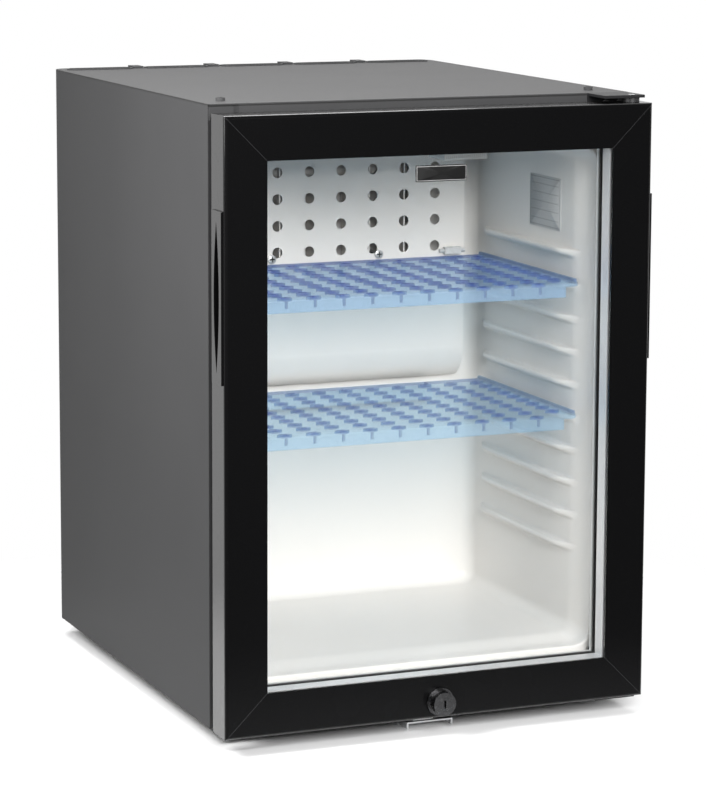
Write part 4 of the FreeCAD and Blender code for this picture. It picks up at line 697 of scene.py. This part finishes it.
def roundedLoop(half, low, high, radius, sideShare, topShare, arcSteps):
    # rounded rectangle in x and z: a quarter circle at each corner, then shares of the straight run after it
    corners = [(half, high), (-half, high), (-half, low), (half, low)]
    inward = [(-1, -1), (1, -1), (1, 1), (-1, 1)]
    arcs = [np.array(c) + radius * np.array(i) + radius * cornerArc(k, arcSteps)
            for k, (c, i) in enumerate(zip(corners, inward))]
    runs = [topShare, 1 - sideShare[::-1], topShare, sideShare]
    joined = []
    for k in range(4):
        start, end = arcs[k][-1], arcs[(k + 1) % 4][0]
        joined += [arcs[k], start + runs[k][:, None] * (end - start)]
    return np.concatenate(joined)


linerForm = {
    # half width, low, high, corner
    "mouth": (0.169, 0.057, 0.510, 0.016),
    "tub": (0.165, 0.061, 0.506, 0.012),
    "lip": (0.1713, 0.046, 0.5225, 0.018),
    "lipFace": (0.1711, 0.0462, 0.5223, 0.0178),
    "casingY": casingLow.y + 0.3 * millimetre,
    "flangeY": casingLow.y - 0.5 * millimetre,
    "edge": 0.0015,  # rounding of the mouth's edge
    "step": (-0.181, -0.152),
    "frontStraight": (-0.13, 8),  # end and loops along y, from the step on
    "straights": [(-0.12, 0.025, 16), (0.028, 0.0475, 10)],  # start, end and loops along y
    "backY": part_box("inner_liner")[1].y - 2 * millimetre,
    "backShares": (0.75, 0.5, 0.25, 0.0),  # sizes of the loops on the flat back
    "wall": 0.0018,
    "leastCorner": 1e-4,
    "cornerSteps": 9,
    "points": (42, 12, 8, 5),  # across the top, through the step, round an edge and along the mouth
    "cornerGap": 0.004,  # from a corner to the first point of a side
    "plainSides": ((0.131, 12), (0.43, 10)),  # end of the side under the rails, start above them, and points
    "railTops": 0.144 + 0.03 * np.arange(10),
    "railSpan": (-0.1675, -0.135, 0.015, 0.0385),
    # rail section from its underside to its top: height from the top, reach from the wall, millimetres
    "railSection": [
        (-9.5, 0), (-8.6, 0.35), (-7.6, 1.6), (-6.4, 4.2), (-5.2, 6.8), (-4.2, 8.3), (-3, 8.9), (-1.5, 9),
        (-0.6, 8.7), (-0.15, 8), (0, 7), (0, 4), (0, 1.8), (0.25, 0.7), (0.9, 0.15), (1.8, 0), (11, 0),
    ],
}


def smoothStep(share):
    return share * share * (3 - 2 * share)


def makeLiner(form):
    # walls: a rounded rectangle carried back along y, pushed in at the sides by rail section times end fade
    half, low, high, radius = form["tub"]
    gap, edge, steps = form["cornerGap"], form["edge"], form["cornerSteps"]
    (underEnd, underPoints), (aboveStart, abovePoints) = form["plainSides"]
    under = np.linspace(low + radius + gap, underEnd, underPoints)
    above = np.linspace(aboveStart, high - radius - gap, abovePoints)
    section = np.array(form["railSection"]) * millimetre
    heights = np.concatenate([under, (form["railTops"][:, None] + section[:, 0]).ravel(), above])
    reaches = np.concatenate([0 * under, np.tile(section[:, 1], len(form["railTops"])), 0 * above])
    share = (heights - low - radius) / (high - low - 2 * radius)
    topPoints, stepPoints, edgePoints, mouthLoops = form["points"]
    across = np.linspace(0, 1, topPoints)[1:-1]
    blend = np.linspace(0, 1, stepPoints)
    arc = np.linspace(0, np.pi / 2, edgePoints)
    mouthHalf, mouthLow, mouthHigh, mouthRound = form["mouth"]
    casing, flange = form["casingY"], form["flangeY"]
    rows = [(casing, *form["lip"]), (flange + edge / 4, *form["lip"]), (flange, *form["lipFace"])]
    for back, out in zip(edge * (1 - np.cos(arc)), edge * (1 - np.sin(arc))):
        rows.append((flange + back, mouthHalf + out, mouthLow - out, mouthHigh + out, mouthRound))
    stepStart, stepEnd = form["step"]
    rows += [(y, *form["mouth"]) for y in np.linspace(flange + 2 * edge, stepStart - edge, mouthLoops)]
    shrink = (mouthHalf - half) * (1 - smoothStep(blend))
    for y, out in zip(stepStart + (stepEnd - stepStart) * blend, shrink):
        rows.append((y, half + out, low - out, high + out, radius + out))
    depths = [np.linspace(stepEnd + edge, *form["frontStraight"])]
    depths += [np.linspace(*straight) for straight in form["straights"]]
    rows += [(y, *form["tub"]) for y in np.concatenate(depths)]
    # the back bends in by the corners' radius and closes at its middle
    least = form["leastCorner"]
    for ahead, out in zip(radius * (1 - np.sin(arc)), radius * (1 - np.cos(arc))):
        rows.append((form["backY"] - ahead, half - out, low + out, high - out, max(radius - out, least)))
    middle, tall = (low + high) / 2, (high - low) / 2 - radius
    for k in form["backShares"]:
        rows.append((form["backY"], (half - radius) * k, middle - tall * k, middle + tall * k, least * k))
    start, full, fall, end = form["railSpan"]
    left = 2 * steps + len(across)
    right = left + len(share) + 2 * steps + len(across)
    layers = []
    for y, *shape in rows:  # one loop of the wall at a time
        loop = roundedLoop(*shape, share, across, steps)
        fade = smoothStep(np.clip(min((y - start) / (full - start), (end - y) / (end - fall)), 0, 1))
        reach = np.zeros(len(loop))
        reach[left:left + len(share)] = reaches[::-1] * fade
        reach[right:right + len(share)] = reaches * fade
        x = loop[:, 0] - np.sign(loop[:, 0]) * reach
        layers.append(np.stack([x, np.full(len(loop), y), loop[:, 1]], axis=-1))
    return np.array(layers)


liner = addSurface("linerTub", makeLiner(linerForm)[None], "cabinet", "liner_plastic", solid=False)
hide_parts("inner_liner")
wall = liner.modifiers.new("wall", "SOLIDIFY")
wall.thickness = linerForm["wall"]
wall.offset = -1
print("liner made")


def flatPlate(form, axes):
    # rounded rectangle in two axes, carried from its back's middle over both rims to its front's middle
    wide, high, radius, thick, edge = form["size"]
    runPoints, arcPoints = 6, 5
    run = np.linspace(0, 1, runPoints)[1:-1]
    steps = [(0, 0), (1, 0), (1, thick - edge), (1 - 2 * edge / high, thick), (0, thick)]
    loop = roundedLoop(wide / 2, -high / 2, high / 2, radius, run, run, arcPoints)
    grid = np.zeros((len(steps), len(loop), 3))
    shares = np.array(steps)
    for number, axis in enumerate(axes[:2]):
        grid[:, :, axis] = form["middle"][axis] + shares[:, :1] * loop[None, :, number]
    deep = axes[2]
    grid[:, :, deep] = form["middle"][deep] + form["towards"] * shares[:, 1:]
    return grid


# size is width, height, corner, thickness and edge
badgeForm = {
    "middle": (-0.0015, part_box("outer_pane")[0].y, 0.497),
    "size": (0.048, 0.0142, 0.001, 0.0007, 0.0002),
    "towards": -1,
    "colours": ((0.006, 0.006, 0.006), (0.3, 0.3, 0.3)),
    # scale of the inset from the edge, and the line on that scale
    "line": (500, [(0.35, 0.0), (0.45, 1.0), (0.6, 1.0), (0.7, 0.0)]),
}
labelForm = {
    "middle": (linerForm["tub"][0], -0.0965, 0.451),
    "size": (0.064, 0.048, 0.0012, 0.0004, 0.0001),
    "towards": -1,
    "colours": ((0.5, 0.5, 0.5), (0.26, 0.26, 0.26)),
    "line": (200, [(0.3, 0.0), (0.36, 1.0), (0.44, 1.0), (0.5, 0.0)]),
    "rules": (0.004, [(0.08, 1.0), (0.16, 0.0)]),  # half pitch and the rule on it
    "margin": 0.005,
}


def edgeInset(u, v, wide, high):
    # how far a point lies inside a rectangle's edge
    return u.calc("MINIMUM", wide / 2 - absolute(u), high / 2 - absolute(v))


def badgeGloss(form):
    # black plate with a thin pale line just inside its edge
    made, shader, spot = newFinish("badgeGloss", {"Specular IOR Level": 0.3})
    cloud = grain(spot, 300, 2)
    x, z = axisOf(spot, "X") - form["middle"][0], axisOf(spot, "Z") - form["middle"][2]
    scale, stops = form["line"]
    line = ramp(edgeInset(x, z, *form["size"][:2]) * scale, stops)
    plug(shader, "Base Color", tint(line, *form["colours"]))
    plug(shader, "Roughness", 0.3 + 0.15 * cloud)
    return made


def labelFilm(form):
    # bare silver-grey film with a faint printed frame and rules
    made, shader, spot = newFinish("labelFilm", {"Specular IOR Level": 0.4})
    cloud = grain(spot, 90, 3)
    y, z = axisOf(spot, "Y") - form["middle"][1], axisOf(spot, "Z") - form["middle"][2]
    inset = edgeInset(y, z, *form["size"][:2])
    scale, stops = form["line"]
    line = ramp(inset * scale, stops)
    pitch, stops = form["rules"]
    rules = ramp(z.calc("PINGPONG", z, pitch) / pitch, stops)
    rules = rules * inset.calc("GREATER_THAN", inset, form["margin"])
    ink = line.calc("MAXIMUM", line, 0.6 * rules)
    plug(shader, "Base Color", tint(ink, *form["colours"]))
    plug(shader, "Roughness", 0.35 + 0.2 * cloud)
    return made


finishes.update({"badge": badgeGloss(badgeForm), "label": labelFilm(labelForm)})
addSurface("blankBadge", flatPlate(badgeForm, (0, 2, 1))[None], "door", "black_plastic", look="badge")
addSurface("blankLabel", flatPlate(labelForm, (1, 2, 0))[None], "cabinet", "white_plastic", look="label")

# the cold plate's rounded foot, a quarter ellipse from the sheet's face back to the liner, carried along x
footForm = {
    "half": plateHigh.x,
    "face": plateLow.y - 0.1 * millimetre,
    "back": plateHigh.y - 0.2 * millimetre,
    "top": 0.299,
    "low": plateLow.z + 0.1 * millimetre,
    "wall": 0.0006,
    "leadIn": (plateLow.y + 0.2 * millimetre, 0.304),  # y and z of a point inside the sheet
    "arcPoints": 22,
}


def plateFoot(form):
    angle = np.linspace(0, np.pi / 2, form["arcPoints"])
    deep, tall = form["back"] - form["face"], form["top"] - form["low"]
    y, z = form["face"] + deep * (1 - np.cos(angle)), form["top"] - tall * np.sin(angle)
    outer = np.concatenate([[form["leadIn"]], np.stack([y, z], axis=-1)])
    inward = np.stack([np.cos(angle) / deep, np.sin(angle) / tall], axis=-1)
    inward = np.concatenate([[(1, 0)], inward / np.linalg.norm(inward, axis=1)[:, None]]) * form["wall"]
    ring = np.concatenate([outer, (outer + inward)[::-1]])
    middle = np.concatenate([outer + inward / 2, (outer + inward / 2)[::-1]])
    # the ends are closed by a loop folded onto the wall's middle line
    grid = np.zeros((4, len(ring), 3))
    grid[:, :, 0] = form["half"] * np.array([-1, -1, 1, 1])[:, None]
    grid[1:3, :, 1:] = ring
    grid[0::3, :, 1:] = middle
    return grid


addSurface("plateFoot", plateFoot(footForm)[None], "cabinet", "plate_aluminium")
print("badge, label and plate foot made")

# domed caps with a cross recess on the screw heads: a square grid drawn onto a disc by t = max(|u|, |v|),
# height rise * (1 - t * t) up to t = 1, then the skirt and the closed underside
screwForm = {
    "radius": 0.00405,
    "rise": 0.0007,
    "floor": 0.0001,
    "skirt": 0.0006,
    "outer": (1.1, 1.2),  # t at the skirt's foot and in the middle of the underside
    "arm": (0.64, 0.15),  # half length and half width of the cross, shares of the radius
    "slope": 0.03,
    "gridPoints": 17,
    # middle of each flat head, the axis it faces along and which way
    "places": [((x, topY, screwsHigh.z), 2, 1) for x in (-topX, topX)]
    + [((x, 0.0311, plateZ), 1, -1) for x in (-plateX, plateX)]
    + [((x, screwsLow.y, 0.54775), 1, -1) for x in (0.175, 0.188)]
    + [((x, -0.1715, 0.0116), 2, -1) for x in (0.175, 0.188)]
    + [((x, -0.1705, 0.0121), 2, -1) for x in (-0.011, 0.011)]
    + [((x, y, screwsLow.z), 2, -1) for x in (-0.148, 0.148) for y in (-0.1295, 0.1985)],
}


def screwCaps(form):
    arm, half = form["arm"]
    marks = np.array([half, half + form["slope"], arm, arm + form["slope"]])
    core = np.unique(np.concatenate([np.linspace(-1, 1, form["gridPoints"]), marks, -marks]))
    foot, under = form["outer"]
    axis = np.concatenate([[-under, -foot], core, [foot, under]])
    u, v = np.meshgrid(axis, axis, indexing="ij")
    level = np.maximum(abs(u), abs(v))
    share = np.where(level > (foot + under) / 2, 0, np.minimum(level, 1))
    cross = (np.minimum(abs(u), abs(v)) <= half) & (level <= arm)
    rise = np.where(cross, form["floor"], form["rise"] * (1 - share ** 2))
    rise = np.where(level > (1 + foot) / 2, -form["skirt"], rise)
    reach = form["radius"] * share / np.maximum(np.hypot(u, v), 1e-9)
    caps = []
    for middle, facing, sign in form["places"]:
        sides = [letter for letter in range(3) if letter != facing]
        cap = np.tile(np.array(middle), (len(axis), len(axis), 1))
        cap[:, :, sides[0]] += u * reach
        cap[:, :, sides[1]] += v * reach
        cap[:, :, facing] += sign * rise
        caps.append(cap)
    return np.array(caps)


addSurface("screwCaps", screwCaps(screwForm), "cabinet", "zinc_steel", closed=False, look="screw")
print("screw caps made")
